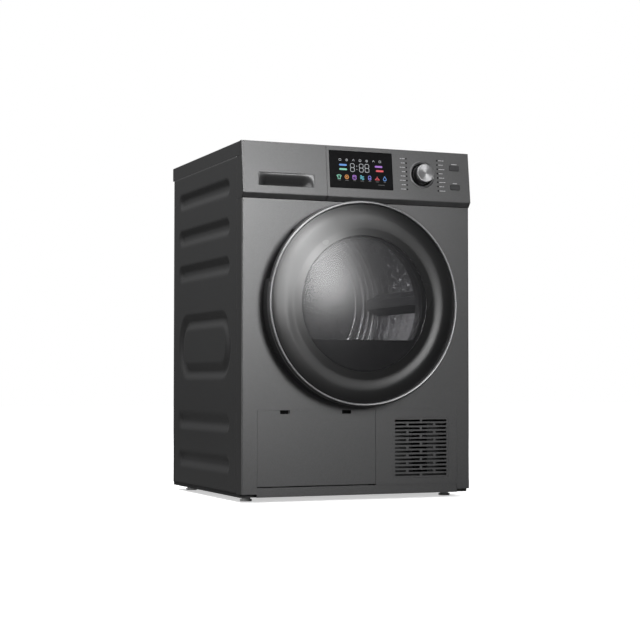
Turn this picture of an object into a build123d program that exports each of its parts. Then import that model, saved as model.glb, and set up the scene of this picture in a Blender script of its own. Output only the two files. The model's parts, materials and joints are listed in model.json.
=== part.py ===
"""Front-loading heat-pump clothes dryer, built as separate pieces.

Millimetres, +Z up, origin on the floor under the middle of the machine.
The front faces -Y, and +X is to the right of someone standing in front.
"""

import os
from math import acos, atan2, cos, degrees, hypot, pi, radians, sin

from build123d import *

os.makedirs("parts", exist_ok=True)

# ---------------------------------------------------------------- cabinet sizes
cabinet_width = 598.0
cabinet_height = 850.0
cabinet_depth = 535.0  # front panel face to the rear edge of the side panels
cover_overhang = 10.0  # the top cover reaches this far past the side panels
door_stand = 46.0  # the door's front edge, ahead of the front panel
sheet = 1.2  # folded steel
seam = 0.8  # visible joint between two panels
rest_gap = 0.3  # clearance of pieces that lie next to each other
running_gap = 0.05  # radial clearance of a shaft in its bore
flange = 12.0  # folded edge of a panel
corner_return = 36.0  # the front panel wraps this far round each side
corner_radius = 4.0

panel_bottom_z = 20.0
base_bottom_z = 12.0
base_wall = 3.0
base_rim_z = 62.0
base_setback = 14.0  # the base starts this far behind the front panel
panel_top_z = 714.0  # top of the front panel
skirt_height = 34.0  # side of the top cover
cover_wall = 2.5
cover_rib = 7.5  # depth of the cover's ribs from its top

half_width = cabinet_width / 2
front_y = door_stand - (door_stand + cabinet_depth + cover_overhang) / 2
back_y = front_y + cabinet_depth
inner_half = half_width - sheet
skirt_z = cabinet_height - skirt_height
base_floor_z = base_bottom_z + base_wall

# ------------------------------------------------------------- console and drawer
console_edge_z = panel_top_z + 12.7  # lower front edge of console and drawer
console_proud = 10.0  # that edge, ahead of the front panel
console_setback = 3.5  # the top edge, behind the front panel
console_depth = 15.0  # the cheeks end here, behind the front panel
console_wall = 2.5
drawer_width = 213.6
display_width, display_height = 166.5, 92.0
display_margin = 7.1  # from the console's left end to the display
display_up = 21.0  # from the console's lower edge, along its face
glass_thickness = 2.0
knob_inset, knob_up = 130.3, 64.0  # from the right side of the case, and up the face
knob_radius, knob_height = 22.5, 22.0
knob_shaft_radius = 3.0
bezel_radius, bezel_width, bezel_height = 34.0, 5.0, 1.6
well_depth = 2.0
button_inset, button_width, button_height = 40.5, 27.0, 13.6
button_rows = (36.8, 85.0)
button_clearance = 0.4
button_corner = 3.0
button_rise = 1.6  # the button's face, above the console's
lens_radius = 1.3
lens_reach = (-41.7, 42.8)  # the two columns, from the knob's axis
lens_rows, lens_pitch = 8, 10.9
handle_inset, handle_width = 38.2, 144.0  # from the left side of the case
handle_up, handle_height, handle_depth = 17.5, 32.5, 24.0
handle_wall = 2.0
tank_rear_gap, tank_wall = 78.0, 2.0  # from the tank to the rear edge of the side panels
tank_top_gap = 8.0
spout_radius = 15.0

# --------------------------------------------------------------------------- door
door_x, door_z = -1.5, 469.0
rim_radius, rim_wall = 246.0, 3.0
rim_rear = 4.0  # gap between the rim and the front panel
rim_front = 41.0
ring_inset, ring_width = 1.5, 6.0
window_radius = rim_radius - 83.0
trim_dish = 15.0  # the trim ring's inner edge lies this far behind its outer edge
trim_thickness = 3.0
window_thickness = 4.0
bowl_inset, bowl_taper, bowl_depth, bowl_wall = 5.0, 22.0, 74.0, 4.0
shield_drop = 86.0  # the chord of the lower shield, below the door's centre
seal_gap, seal_width = 4.0, 10.0  # from the opening to the seal
hinge_x = door_x + rim_radius - 16.5
hinge_out = 26.0  # hinge axis, ahead of the front panel
hinge_pin_radius = 3.0
hinge_span = 40.0  # half the height of the hinge
hinge_notch = 11.0  # the rim is cut away this far ahead of the hinge axis
lug_thickness = 6.0
latch_x = door_x - rim_radius + 20.0
ring_radius = rim_radius - ring_inset
bowl_radius = window_radius - bowl_inset
bowl_end_radius = bowl_radius - bowl_taper
opening_radius = rim_radius - 66.0
throat_radius = opening_radius - 5.0
seal_radius = opening_radius + seal_gap
throat_depth = 12.0

# --------------------------------------------------------------------------- drum
drum_z = 492.0
drum_radius, drum_sheet = 272.0, 1.2
drum_front, drum_rear_gap = 72.0, 57.0
drum_mouth = 206.0
drum_neck = 12.0
collar_gap, collar_wall = 7.0, 3.0  # from the drum's mouth to the collar
lifter_height, lifter_base = 45.0, 64.0
lifter_count = 3
shaft_radius = 12.5
bulkhead_y, bulkhead_thickness = 44.0, 3.0
rear_bulkhead_gap = 41.0  # ahead of the side panels' rear edge
bulkhead_half = inner_half - flange - 1.8
bulkhead_top_z = panel_top_z - 16.0
roller_radius, roller_width, roller_angle = 28.0, 20.0, 40.0
axle_radius = 6.0

collar_radius = drum_mouth - collar_gap
felt_radius = drum_radius - 36.0  # inside of the rear felt ring
drum_front_y = front_y + drum_front
drum_back_y = back_y - drum_rear_gap
rear_bulkhead_y = back_y - rear_bulkhead_gap

# --------------------------------------------------- drive, air path, heat pump
belt_y, belt_width, belt_thickness = 262.0, 12.0, 2.0
motor_x, motor_z = 170.0, 150.0
motor_radius, motor_front, motor_length = 58.0, 294.0, 88.0
motor_shaft_radius = 6.0
pulley_radius = 11.0
fan_radius, fan_width = 70.0, 36.0
fan_front = motor_front + motor_length + 18.0
idler_radius = 18.0
idler_share = 0.75  # place of the idler along the belt's lower run
arm_length = 84.0
idler_pin, pivot_pin, arm_half, arm_thickness = 4.0, 5.0, 9.0, 4.0
post_half, post_thickness = 14.0, 8.0
exchanger_left, exchanger_right = -half_width + 51.0, -16.0
exchanger_front, exchanger_rear = 68.0, cabinet_depth - 135.0
exchanger_top = 196.0
exchanger_wall = 2.5
compressor_x, compressor_depth, compressor_radius = 150.0, 148.0, 58.0
compressor_height = 150.0

# ------------------------------------------------------------------- lower front
lower_left, lower_right = -half_width + 39.0, half_width - 34.6
lower_top = 216.0
plinth_top = 34.4
lower_thickness = 3.0
flap_right = 43.6
flap_bottom = 37.2
flap_pin_z, flap_pin_back, flap_pin_radius = 42.0, 5.2, 1.5
notch_width, notch_height = 24.2, 9.5
notch_places = (lower_left + 69.7, flap_right - 75.3)
grille_left, grille_right = lower_right - 173.3, lower_right - 23.8
grille_bottom, grille_top = 49.2, 195.7
slot_rows, slot_height, slot_margin, slot_bridge = 15, 5.0, 5.0, 6.4

# -------------------------------------------------------------------------- feet
foot_radius, foot_pad, stud_radius = 14.0, 5.0, 4.0
foot_inset_x, foot_inset_front, foot_inset_rear = 36.0, 68.0, 48.0
foot_boss_radius, foot_boss_height = 13.0, 34.0

# ----------------------------------------------------------------- rear fittings
inlet_x, inlet_z, inlet_radius = -half_width + 74.0, 120.0, 9.0
outlet_x, outlet_z, outlet_radius = half_width - 64.0, 90.0, 8.0
rear_duct_radius, rear_duct_rise = 205.0, 6.0
vent_slots, vent_columns, vent_pitch, vent_z = 9, 4, 12.0, 130.0

# ------------------------------------------------------------------ side recesses
recess_heights = (750.0, 655.0, 562.0, 184.0, 86.0)
recess_front, recess_rear = 84.0, cabinet_depth - 45.0
recess_width, recess_depth, recess_flank = 48.0, 8.0, 9.0
ring_z, ring_half_height = 372.0, 84.0
ring_front, ring_rear, ring_bulge = 124.0, cabinet_depth - 99.0, 50.0
ring_groove = 42.0


# ------------------------------------------------------------------------ helpers
def save(builder, name):
    """Label a finished piece and write it under its own name."""
    builder.part.label = name
    export_step(builder.part, f"parts/{name}.step")


def block(x_range, y_range, z_range, mode=Mode.ADD):
    """Box between two limits on each axis."""
    spans = (x_range, y_range, z_range)
    centre = tuple((low + high) / 2 for low, high in spans)
    with Locations(centre):
        Box(*(high - low for low, high in spans), mode=mode)


def facing(x, y, z):
    """Plane that faces the front, so that extruding a negative amount goes back."""
    return Plane(origin=(x, y, z), x_dir=(1, 0, 0), z_dir=(0, -1, 0))


def disc(x, z, front, rear, radius, hole=0.0, mode=Mode.ADD):
    """Round plate, or ring, between two depths, about an axis along Y."""
    with BuildSketch(facing(x, front, z)) as outline:
        Circle(radius)
        if hole:
            Circle(hole, mode=Mode.SUBTRACT)
    extrude(outline.sketch, amount=front - rear, mode=mode)


def upright(x, y, bottom, top, radius, mode=Mode.ADD):
    """Round post between two heights."""
    with BuildSketch(Plane.XY.offset(bottom)) as outline:
        with Locations((x, y)):
            Circle(radius)
    extrude(outline.sketch, amount=top - bottom, mode=mode)


def door_ring(points, mode=Mode.ADD):
    """Closed outline of (radius, depth ahead of the panel), turned about the door's axis."""
    with BuildSketch(Plane(origin=(door_x, front_y, door_z), x_dir=(1, 0, 0), z_dir=(0, 0, 1))) as outline:
        with BuildLine():
            Polyline(*((radius, -ahead) for radius, ahead in points), close=True)
        make_face()
    revolve(outline.sketch, axis=Axis((door_x, front_y, door_z), (0, 1, 0)), mode=mode)


def depth(amount):
    """Y of a place this far behind the front panel's face."""
    return front_y + amount


# ---------------------------------------------------------- belt run and idler place
reach = hypot(motor_x, motor_z - drum_z)
line_angle = atan2(motor_z - drum_z, motor_x)
wrap = acos((drum_radius - pulley_radius) / reach)
belt_front, belt_rear = depth(belt_y - belt_width / 2), depth(belt_y + belt_width / 2)
run_turn = line_angle - wrap
outer_rim = drum_radius + rest_gap + belt_thickness
outer_wheel = pulley_radius + rest_gap + belt_thickness
run_start = (outer_rim * cos(run_turn), drum_z + outer_rim * sin(run_turn))
run_end = (motor_x + outer_wheel * cos(run_turn), motor_z + outer_wheel * sin(run_turn))
idler_x = run_start[0] + idler_share * (run_end[0] - run_start[0]) + (idler_radius + rest_gap) * cos(run_turn)
idler_z = run_start[1] + idler_share * (run_end[1] - run_start[1]) + (idler_radius + rest_gap) * sin(run_turn)
pivot_x = idler_x + arm_length * cos(run_turn + pi / 2)
pivot_z = idler_z + arm_length * sin(run_turn + pi / 2)
arm_front = belt_rear + 4

# ------------------------------------------------------------------------ cabinet
base_half = inner_half - rest_gap
base_front_y = depth(base_setback)
foot_places = {
    "front_left": (-half_width + foot_inset_x, depth(foot_inset_front)),
    "front_right": (half_width - foot_inset_x, depth(foot_inset_front)),
    "rear_left": (-half_width + foot_inset_x, back_y - foot_inset_rear),
    "rear_right": (half_width - foot_inset_x, back_y - foot_inset_rear),
}
with BuildPart() as base_pan:
    block((-base_half, base_half), (base_front_y, back_y - sheet - rest_gap), (base_bottom_z, base_rim_z))
    block(
        (-base_half + base_wall, base_half - base_wall),
        (base_front_y + base_wall, back_y - sheet - rest_gap - base_wall),
        (base_floor_z, base_rim_z),
        Mode.SUBTRACT,
    )
    block(
        (exchanger_left, flap_right - 8),
        (base_front_y, base_front_y + base_wall),
        (flap_pin_z + 6, base_rim_z),
        Mode.SUBTRACT,
    )
    for foot_x, foot_y in foot_places.values():
        upright(foot_x, foot_y, base_floor_z, base_floor_z + foot_boss_height, foot_boss_radius)
        bore_top = base_floor_z + foot_boss_height
        upright(foot_x, foot_y, base_bottom_z, bore_top, stud_radius + running_gap, Mode.SUBTRACT)
    block(
        (pivot_x - post_half, pivot_x + post_half),
        (arm_front + arm_thickness + rest_gap, arm_front + arm_thickness + post_thickness),
        (base_floor_z, pivot_z + post_half),
    )
    disc(pivot_x, pivot_z, arm_front - 5, arm_front + arm_thickness + rest_gap, pivot_pin)
save(base_pan, "base_pan")

for corner, (foot_x, foot_y) in foot_places.items():
    with BuildPart() as foot:
        upright(foot_x, foot_y, 0, foot_pad, foot_radius)
        with BuildSketch(Plane.XY.offset(foot_pad)):
            with Locations((foot_x, foot_y)):
                RegularPolygon(foot_radius - 3, 6)
        extrude(amount=base_bottom_z - rest_gap - foot_pad)
        upright(foot_x, foot_y, foot_pad, base_floor_z + foot_boss_height - 4, stud_radius)
        fillet(foot.edges().filter_by(GeomType.CIRCLE).sort_by(Axis.Z)[0], 1.0)
    save(foot, f"levelling_foot_{corner}")


def outward(side):
    """Plane on a side panel's face: local y is up, local z points into the machine."""
    x_dir = (0, -side, 0)
    return Plane(origin=(side * half_width, 0, 0), x_dir=x_dir, z_dir=(-side, 0, 0))


def trough(side, height, grow, mode):
    """One pressed trough, grown by the sheet for its outer skin."""
    length = recess_rear - recess_front + 2 * grow
    width = recess_width + 2 * grow
    with BuildSketch(outward(side)) as outline:
        with Locations((-side * depth((recess_front + recess_rear) / 2), height)):
            RectangleRounded(length, width, width / 2 - 1)
    slope = degrees(atan2(recess_flank, recess_depth))
    extrude(outline.sketch, amount=recess_depth + grow, taper=slope, mode=mode)


def barrel(side, shrink):
    """Outline with straight top and bottom and bulging ends."""
    low, high = ring_z - ring_half_height + shrink, ring_z + ring_half_height - shrink
    near, far = sorted((-side * depth(ring_front), -side * depth(ring_rear)))
    reach = ring_bulge - shrink
    with BuildLine() as outline:
        Line((near, low), (far, low))
        ThreePointArc((far, low), (far + reach, ring_z), (far, high))
        Line((far, high), (near, high))
        ThreePointArc((near, high), (near - reach, ring_z), (near, low))
    make_face(outline.edges())


def ring_pressing(side, grow, mode):
    """Pressed ring groove: a dish with an island left standing in it."""
    into = recess_depth + grow
    slope = degrees(atan2(recess_flank, recess_depth))
    with BuildPart(mode=Mode.PRIVATE) as dish:
        with BuildSketch(outward(side)):
            barrel(side, -grow)
        extrude(amount=into, taper=slope)
        with BuildSketch(outward(side)):
            barrel(side, ring_groove + grow)
        extrude(amount=into, taper=-slope, mode=Mode.SUBTRACT)
    add(dish.part, mode=mode)


side_front_y = depth(corner_return + seam)
side_top_z = skirt_z - rest_gap
for side, side_name in ((-1, "left"), (1, "right")):
    skin = sorted((side * half_width, side * inner_half))
    fold = sorted((side * inner_half, side * (inner_half - flange)))
    with BuildPart() as side_panel:
        block(skin, (side_front_y, back_y), (panel_bottom_z, side_top_z))
        block(fold, (back_y - sheet, back_y), (base_rim_z + rest_gap, side_top_z))
        block(fold, (side_front_y, side_front_y + sheet), (base_rim_z + rest_gap, side_top_z))
        block(fold, (side_front_y, back_y), (side_top_z - sheet, side_top_z))
        for height in recess_heights:
            trough(side, height, sheet, Mode.ADD)
        ring_pressing(side, sheet, Mode.ADD)
        for height in recess_heights:
            trough(side, height, 0, Mode.SUBTRACT)
        ring_pressing(side, 0, Mode.SUBTRACT)
    save(side_panel, f"{side_name}_side_panel")

# The rear panel is screwed over the side panels' rear folds, under the top cover's overhang.
with BuildPart() as rear_panel:
    block((-half_width + 2, half_width - 2), (back_y, back_y + sheet), (panel_bottom_z + 4, side_top_z - 4))
    disc(0, drum_z, back_y, back_y + rear_duct_rise, rear_duct_radius)
    disc(0, drum_z, back_y, back_y + rear_duct_rise - sheet, rear_duct_radius - sheet, mode=Mode.SUBTRACT)
    with BuildSketch(facing(0, back_y - 1, vent_z)):
        with GridLocations(90.0, vent_pitch, vent_columns, vent_slots):
            SlotOverall(70.0, 5.0)
    extrude(amount=-(sheet + 2), mode=Mode.SUBTRACT)
    disc(inlet_x, inlet_z, back_y - 1, back_y + 2, inlet_radius + running_gap, mode=Mode.SUBTRACT)
    disc(outlet_x, outlet_z, back_y - 1, back_y + 2, outlet_radius + running_gap, mode=Mode.SUBTRACT)
save(rear_panel, "rear_panel")

with BuildPart() as rear_fittings:
    disc(inlet_x, inlet_z, back_y + sheet, back_y + sheet + 7, inlet_radius + 4, 5.0)
    disc(inlet_x, inlet_z, back_y - 12, back_y + sheet, inlet_radius, 5.0)
    disc(outlet_x, outlet_z, back_y + sheet, back_y + sheet + 2, outlet_radius + 4, 6.0)
    disc(outlet_x, outlet_z, back_y - 14, back_y + sheet + 7, outlet_radius, 6.0)
save(rear_fittings, "rear_fittings")

cover_front_y = depth(console_depth + seam)
cover_rear_y = back_y + cover_overhang
with BuildPart() as top_cover:
    block((-half_width, half_width), (cover_front_y, cover_rear_y), (skirt_z, cabinet_height))
    block(
        (-half_width + cover_wall, half_width - cover_wall),
        (cover_front_y - 1, cover_rear_y - cover_wall),
        (skirt_z, cabinet_height - cover_wall),
        Mode.SUBTRACT,
    )
    rim_edges = top_cover.edges().filter_by(Axis.Y).group_by(Axis.Z)[-1]
    fillet(rim_edges.group_by(Axis.X)[0] + rim_edges.group_by(Axis.X)[-1], 2.0)
    for rib_x in (-150.0, 0.0, 150.0):
        block(
            (rib_x - 1.5, rib_x + 1.5),
            (cover_front_y + 8, cover_rear_y - cover_wall),
            (cabinet_height - cover_rib, cabinet_height - cover_wall),
        )
save(top_cover, "top_cover")

# ---------------------------------------------------------------- front panel
with BuildPart() as front_panel:
    with BuildSketch(Plane.XY.offset(panel_bottom_z)):
        with Locations((0, depth(corner_return / 2))):
            Rectangle(cabinet_width, corner_return)
    extrude(amount=panel_top_z - panel_bottom_z)
    fillet(front_panel.edges().filter_by(Axis.Z).group_by(Axis.Y)[0], corner_radius)
    with BuildSketch(Plane.XY.offset(panel_bottom_z)):
        with Locations((0, depth(sheet + corner_return / 2))):
            Rectangle(cabinet_width - 2 * sheet, corner_return)
    extrude(amount=panel_top_z - sheet - panel_bottom_z, mode=Mode.SUBTRACT)
    block(
        (-half_width + 30, half_width - 30),
        (depth(19), depth(corner_return + 1)),
        (panel_top_z - sheet, panel_top_z),
        Mode.SUBTRACT,
    )
    disc(door_x, door_z, front_y, depth(throat_depth), opening_radius + sheet, opening_radius)
    disc(door_x, door_z, depth(-1), depth(throat_depth), opening_radius, mode=Mode.SUBTRACT)
    block(
        (lower_left, lower_right),
        (depth(-1), depth(sheet + 1)),
        (panel_bottom_z, lower_top),
        Mode.SUBTRACT,
    )
    block((latch_x - 10, latch_x + 10), (depth(-1), depth(2)), (door_z - 15, door_z + 15), Mode.SUBTRACT)
save(front_panel, "front_panel")

# The strip under the lower edge of the console and the drawer slopes back to the front panel.
lean = atan2(console_proud + console_setback, cabinet_height - console_edge_z)
face_length = hypot(console_proud + console_setback, cabinet_height - console_edge_z)
console_face = Plane(
    origin=(0, depth(-console_proud), console_edge_z),
    x_dir=(1, 0, 0),
    z_dir=(0, -cos(lean), sin(lean)),
)
strip_clear = 0.5
board_gap = 7.0


def top_front_outline(inset, rear, cheek, shoulder_z):
    """Side view of the console: leaning face, level top, a step under the top cover, undercut."""
    with BuildLine() as outline:
        Polyline(
            (depth(-console_proud + inset), console_edge_z + inset),
            (depth(console_setback + inset), cabinet_height - inset),
            (depth(rear), cabinet_height - inset),
            (depth(rear), shoulder_z),
            (depth(cheek), shoulder_z),
            (depth(cheek), panel_top_z + strip_clear + inset),
            (depth(strip_clear + inset), panel_top_z + strip_clear + inset),
            close=True,
        )
    make_face(outline.edges())


def top_front_shell(left, right, left_wall, right_wall):
    """Open-backed shell behind the leaning face, between two X limits."""
    with BuildSketch(Plane.YZ.offset(left)) as outline:
        top_front_outline(0, console_depth, corner_return, skirt_z - seam)
    extrude(outline.sketch, amount=right - left)
    with BuildSketch(Plane.YZ.offset(left + left_wall)) as hollow:
        top_front_outline(console_wall, corner_return + 1, corner_return + 1.5, skirt_z)
    extrude(hollow.sketch, amount=right - right_wall - left - left_wall, mode=Mode.SUBTRACT)


def on_face(x, up, offset=0.0):
    """Plane on the leaning face, with its origin at a place on that face."""
    return console_face.offset(offset).shift_origin(console_face.offset(offset).from_local_coords((x, up, 0)))


drawer_right = -half_width + drawer_width
console_left = drawer_right + seam
knob_x, button_x = half_width - knob_inset, half_width - button_inset
lens_columns = [knob_x + reach for reach in lens_reach]
display_left = console_left + display_margin
display_x = display_left + display_width / 2
display_mid = display_up + display_height / 2
with BuildPart() as control_console:
    top_front_shell(console_left, half_width, console_wall, console_wall)
    with BuildSketch(on_face(display_x, display_mid)):
        Rectangle(display_width + 2 * rest_gap, display_height + 2 * rest_gap)
    extrude(amount=-glass_thickness, mode=Mode.SUBTRACT)
    with BuildSketch(on_face(display_x, display_mid)):
        Rectangle(display_width - 8, display_height - 8)
    extrude(amount=-console_wall * 2, mode=Mode.SUBTRACT)
    with BuildSketch(on_face(knob_x, knob_up)):
        Circle(bezel_radius - bezel_width)
    extrude(amount=-well_depth - console_wall)
    with BuildSketch(on_face(knob_x, knob_up)):
        Circle(bezel_radius - bezel_width - 0.5)
    extrude(amount=-well_depth, mode=Mode.SUBTRACT)
    with BuildSketch(on_face(knob_x, knob_up)):
        Circle(knob_shaft_radius + running_gap)
    extrude(amount=-well_depth - console_wall, mode=Mode.SUBTRACT)
    for button_up in button_rows:
        with BuildSketch(on_face(button_x, button_up)):
            RectangleRounded(
                button_width + 2 * button_clearance,
                button_height + 2 * button_clearance,
                button_corner + button_clearance,
            )
        extrude(amount=-console_wall * 2, mode=Mode.SUBTRACT)
    for lens_x in lens_columns:
        with BuildSketch(on_face(lens_x, knob_up)):
            with GridLocations(0, lens_pitch, 1, lens_rows):
                Circle(lens_radius + rest_gap / 2)
        extrude(amount=-console_wall * 2, mode=Mode.SUBTRACT)
    for post_x in (knob_x - 67.3, half_width - 11.0):
        for post_up in (30.0, face_length - 30.0):
            with BuildSketch(on_face(post_x, post_up, -console_wall + 0.5)):
                Circle(3.0)
            extrude(amount=-(board_gap - console_wall + 0.5))
save(control_console, "control_console")

with BuildPart() as display_glass:
    with BuildSketch(on_face(display_x, display_mid, -glass_thickness)):
        RectangleRounded(display_width, display_height, 1.5)
    extrude(amount=glass_thickness)
save(display_glass, "display_glass")

with BuildPart() as indicator_lenses:
    for lens_x in lens_columns:
        with BuildSketch(on_face(lens_x, knob_up, -console_wall)):
            with GridLocations(0, lens_pitch, 1, lens_rows):
                Circle(lens_radius)
        extrude(amount=console_wall + 0.3)
save(indicator_lenses, "indicator_lenses")

with BuildPart() as knob_bezel:
    with BuildSketch(on_face(knob_x, knob_up)):
        Circle(bezel_radius)
        Circle(bezel_radius - bezel_width, mode=Mode.SUBTRACT)
    extrude(amount=bezel_height)
    outer_edge = knob_bezel.edges().filter_by(GeomType.CIRCLE).group_by(SortBy.RADIUS)[-1]
    fillet(outer_edge.sort_by(Axis.Y)[0], bezel_height / 2)
save(knob_bezel, "knob_bezel")

knob_foot = -well_depth + rest_gap
with BuildPart() as program_knob:
    with BuildSketch(on_face(knob_x, knob_up, knob_foot)):
        Circle(knob_radius)
    extrude(amount=knob_height - knob_foot)
    fillet(program_knob.edges().filter_by(GeomType.CIRCLE).sort_by(Axis.Y)[0], 1.2)
    with BuildSketch(on_face(knob_x, knob_up, knob_foot)):
        Circle(knob_shaft_radius)
    extrude(amount=-(console_wall + 4))
    with BuildSketch(on_face(knob_x, knob_up + knob_radius - 5, knob_height)):
        SlotOverall(6.0, 1.6, rotation=90)
    extrude(amount=-0.6, mode=Mode.SUBTRACT)
save(program_knob, "program_knob")

for button_name, button_up in zip(("lower", "upper"), button_rows):
    with BuildPart() as button:
        with BuildSketch(on_face(button_x, button_up, -console_wall - 2)):
            RectangleRounded(button_width, button_height, button_corner)
        extrude(amount=console_wall + 2 + button_rise)
        fillet(button.faces().sort_by(Axis.Y)[0].edges(), 0.8)
    save(button, f"{button_name}_button")

with BuildPart() as control_board:
    with BuildSketch(on_face((console_left + half_width) / 2, face_length / 2, -board_gap)):
        Rectangle(half_width - console_left - 4 * console_wall, face_length - 40)
        with Locations((knob_x - (console_left + half_width) / 2, knob_up - face_length / 2)):
            Circle(knob_shaft_radius + 2, mode=Mode.SUBTRACT)
    extrude(amount=-1.6)
save(control_board, "control_board")

# ------------------------------------------------------------- water tank drawer
tank_left = -inner_half + flange + 1.5
tank_right = drawer_right - 8
tank_front = console_depth + 2
tank_rear = cabinet_depth - tank_rear_gap
tank_top = cabinet_height - cover_wall - tank_top_gap
tank_clear_radius = drum_radius + 15.0
handle_left = -half_width + handle_inset
handle_x = handle_left + handle_width / 2
with BuildPart() as drawer_front:
    top_front_shell(-half_width, drawer_right, console_wall, console_wall)
    handle_mid = handle_up + handle_height / 2
    with BuildSketch(on_face(handle_x, handle_mid)):
        Rectangle(handle_width + 2 * handle_wall, handle_height + 2 * handle_wall)
    extrude(amount=-handle_depth - handle_wall)
    block((tank_left, tank_right), (depth(console_depth), depth(tank_front)), (console_edge_z + 4, tank_top))
    with BuildSketch(on_face(handle_x, handle_mid)):
        RectangleRounded(handle_width, handle_height, 2)
    extrude(amount=-handle_depth, mode=Mode.SUBTRACT)
save(drawer_front, "drawer_front")

handle_hollow = handle_depth + handle_wall + 4
with BuildPart() as water_tank:
    block((tank_left, tank_right), (depth(tank_front), depth(tank_rear)), (console_edge_z + 4, tank_top))
    disc(0, drum_z, depth(tank_front - 1), depth(tank_rear + 1), tank_clear_radius, mode=Mode.SUBTRACT)
    block(
        (handle_left - 6, handle_left + handle_width + 6),
        (depth(tank_front - 1), depth(handle_hollow)),
        (console_edge_z, console_edge_z + handle_up + handle_height + 8),
        Mode.SUBTRACT,
    )
    offset(amount=-tank_wall, mode=Mode.SUBTRACT)
    upright(
        (tank_left + tank_right) / 2,
        depth(tank_rear - 60),
        tank_top - tank_wall - 1,
        tank_top + 1,
        spout_radius,
        Mode.SUBTRACT,
    )
save(water_tank, "water_tank")

tray_sheet = 2.0
tray_radius = tank_clear_radius - rest_gap
tray_limits = ((tank_left, tank_right), (depth(bulkhead_y + bulkhead_thickness), rear_bulkhead_y))
with BuildPart() as tray_room:
    block(*tray_limits, (console_edge_z - 60, tank_top))
    disc(0, drum_z, depth(bulkhead_y), rear_bulkhead_y, tray_radius, mode=Mode.SUBTRACT)
with BuildPart() as tank_guide:
    block(*tray_limits, (console_edge_z - 40, tank_top - 30))
    disc(0, drum_z, depth(bulkhead_y), rear_bulkhead_y, tray_radius - tray_sheet, mode=Mode.SUBTRACT)
    add(tray_room.part, mode=Mode.SUBTRACT)
save(tank_guide, "tank_guide")

# -------------------------------------------------------------------- lower front
slot_field = grille_top - grille_bottom - 2 * slot_margin
slot_pitch = (slot_field - slot_height) / (slot_rows - 1)
slot_left, slot_right = grille_left + slot_margin, grille_right - slot_margin
plinth_setback = 1.5
frame_depth = 4.0  # the flap's backing frame starts this far behind the front panel
ear_width = 3.6
ear_gap = 0.2
left_ear = lower_left - ear_gap - ear_width
right_ear = flap_right + seam + ear_gap
with BuildPart() as lower_trim:
    block(
        (lower_left + rest_gap, lower_right - rest_gap),
        (depth(plinth_setback), depth(plinth_setback + lower_thickness)),
        (base_bottom_z, plinth_top),
    )
    block(
        (flap_right + seam, lower_right - rest_gap),
        (front_y, depth(lower_thickness)),
        (plinth_top, lower_top - rest_gap),
    )
    block(
        (grille_left, grille_right),
        (depth(-1), depth(lower_thickness + 2)),
        (grille_bottom, grille_top),
        Mode.SUBTRACT,
    )
    block(
        (grille_left - 4, grille_right + 4),
        (depth(lower_thickness), depth(lower_thickness + 2)),
        (grille_bottom - 4, grille_top + 4),
    )
    block(
        (slot_left - 2, slot_right + 2),
        (depth(lower_thickness - 1), depth(lower_thickness + 3)),
        (grille_bottom + slot_margin - 2, grille_top - slot_margin + 2),
        Mode.SUBTRACT,
    )
    block(
        (lower_left - 6, flap_right + seam + 8),
        (depth(lower_thickness - 0.2), depth(frame_depth + 2)),
        (flap_bottom + 14, lower_top + 6),
    )
    block(
        (lower_left - 7, lower_left + 8),
        (depth(lower_thickness - 1), depth(frame_depth)),
        (flap_bottom, lower_top + 7),
        Mode.SUBTRACT,
    )
    block(
        (lower_left - 7, flap_right + rest_gap),
        (depth(lower_thickness - 1), depth(frame_depth)),
        (flap_bottom, lower_top + 7),
        Mode.SUBTRACT,
    )
    block(
        (lower_left + 8, flap_right - 8),
        (depth(frame_depth - 2), depth(frame_depth + 3)),
        (flap_bottom, lower_top - 10),
        Mode.SUBTRACT,
    )
    block((left_ear, lower_left + 10), (depth(plinth_setback + 1), depth(12)), (24, plinth_top - 1))
    block(
        (lower_left + 1, lower_left + 11),
        (depth(plinth_setback + lower_thickness), depth(13)),
        (20, 50),
        Mode.SUBTRACT,
    )
    for ear_left in (left_ear, right_ear):
        block((ear_left, ear_left + ear_width), (depth(lower_thickness - 0.5), depth(12)), (24, flap_bottom + 16))
        with BuildSketch(Plane.YZ.offset(ear_left)):
            with Locations((depth(flap_pin_back), flap_pin_z)):
                Circle(flap_pin_radius + running_gap)
        extrude(amount=ear_width, mode=Mode.SUBTRACT)
save(lower_trim, "lower_trim")

flap_left = lower_left + seam / 2
with BuildPart() as service_flap:
    block((flap_left, flap_right), (front_y, depth(lower_thickness)), (flap_bottom, lower_top - seam / 2))
    for notch_x in notch_places:
        block(
            (notch_x - notch_width / 2, notch_x + notch_width / 2),
            (depth(-1), depth(lower_thickness + 1)),
            (lower_top - notch_height, lower_top),
            Mode.SUBTRACT,
        )
    for boss_left in (flap_left, flap_right - 5):
        block((boss_left, boss_left + 5), (depth(lower_thickness), depth(8)), (flap_pin_z - 3, flap_pin_z + 3))
    with BuildSketch(Plane.YZ.offset(flap_left - ear_width)):
        with Locations((depth(flap_pin_back), flap_pin_z)):
            Circle(flap_pin_radius)
    extrude(amount=ear_width + 4)
    with BuildSketch(Plane.YZ.offset(flap_right - 4)):
        with Locations((depth(flap_pin_back), flap_pin_z)):
            Circle(flap_pin_radius)
    extrude(amount=ear_width + 5)
save(service_flap, "service_flap")

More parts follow.
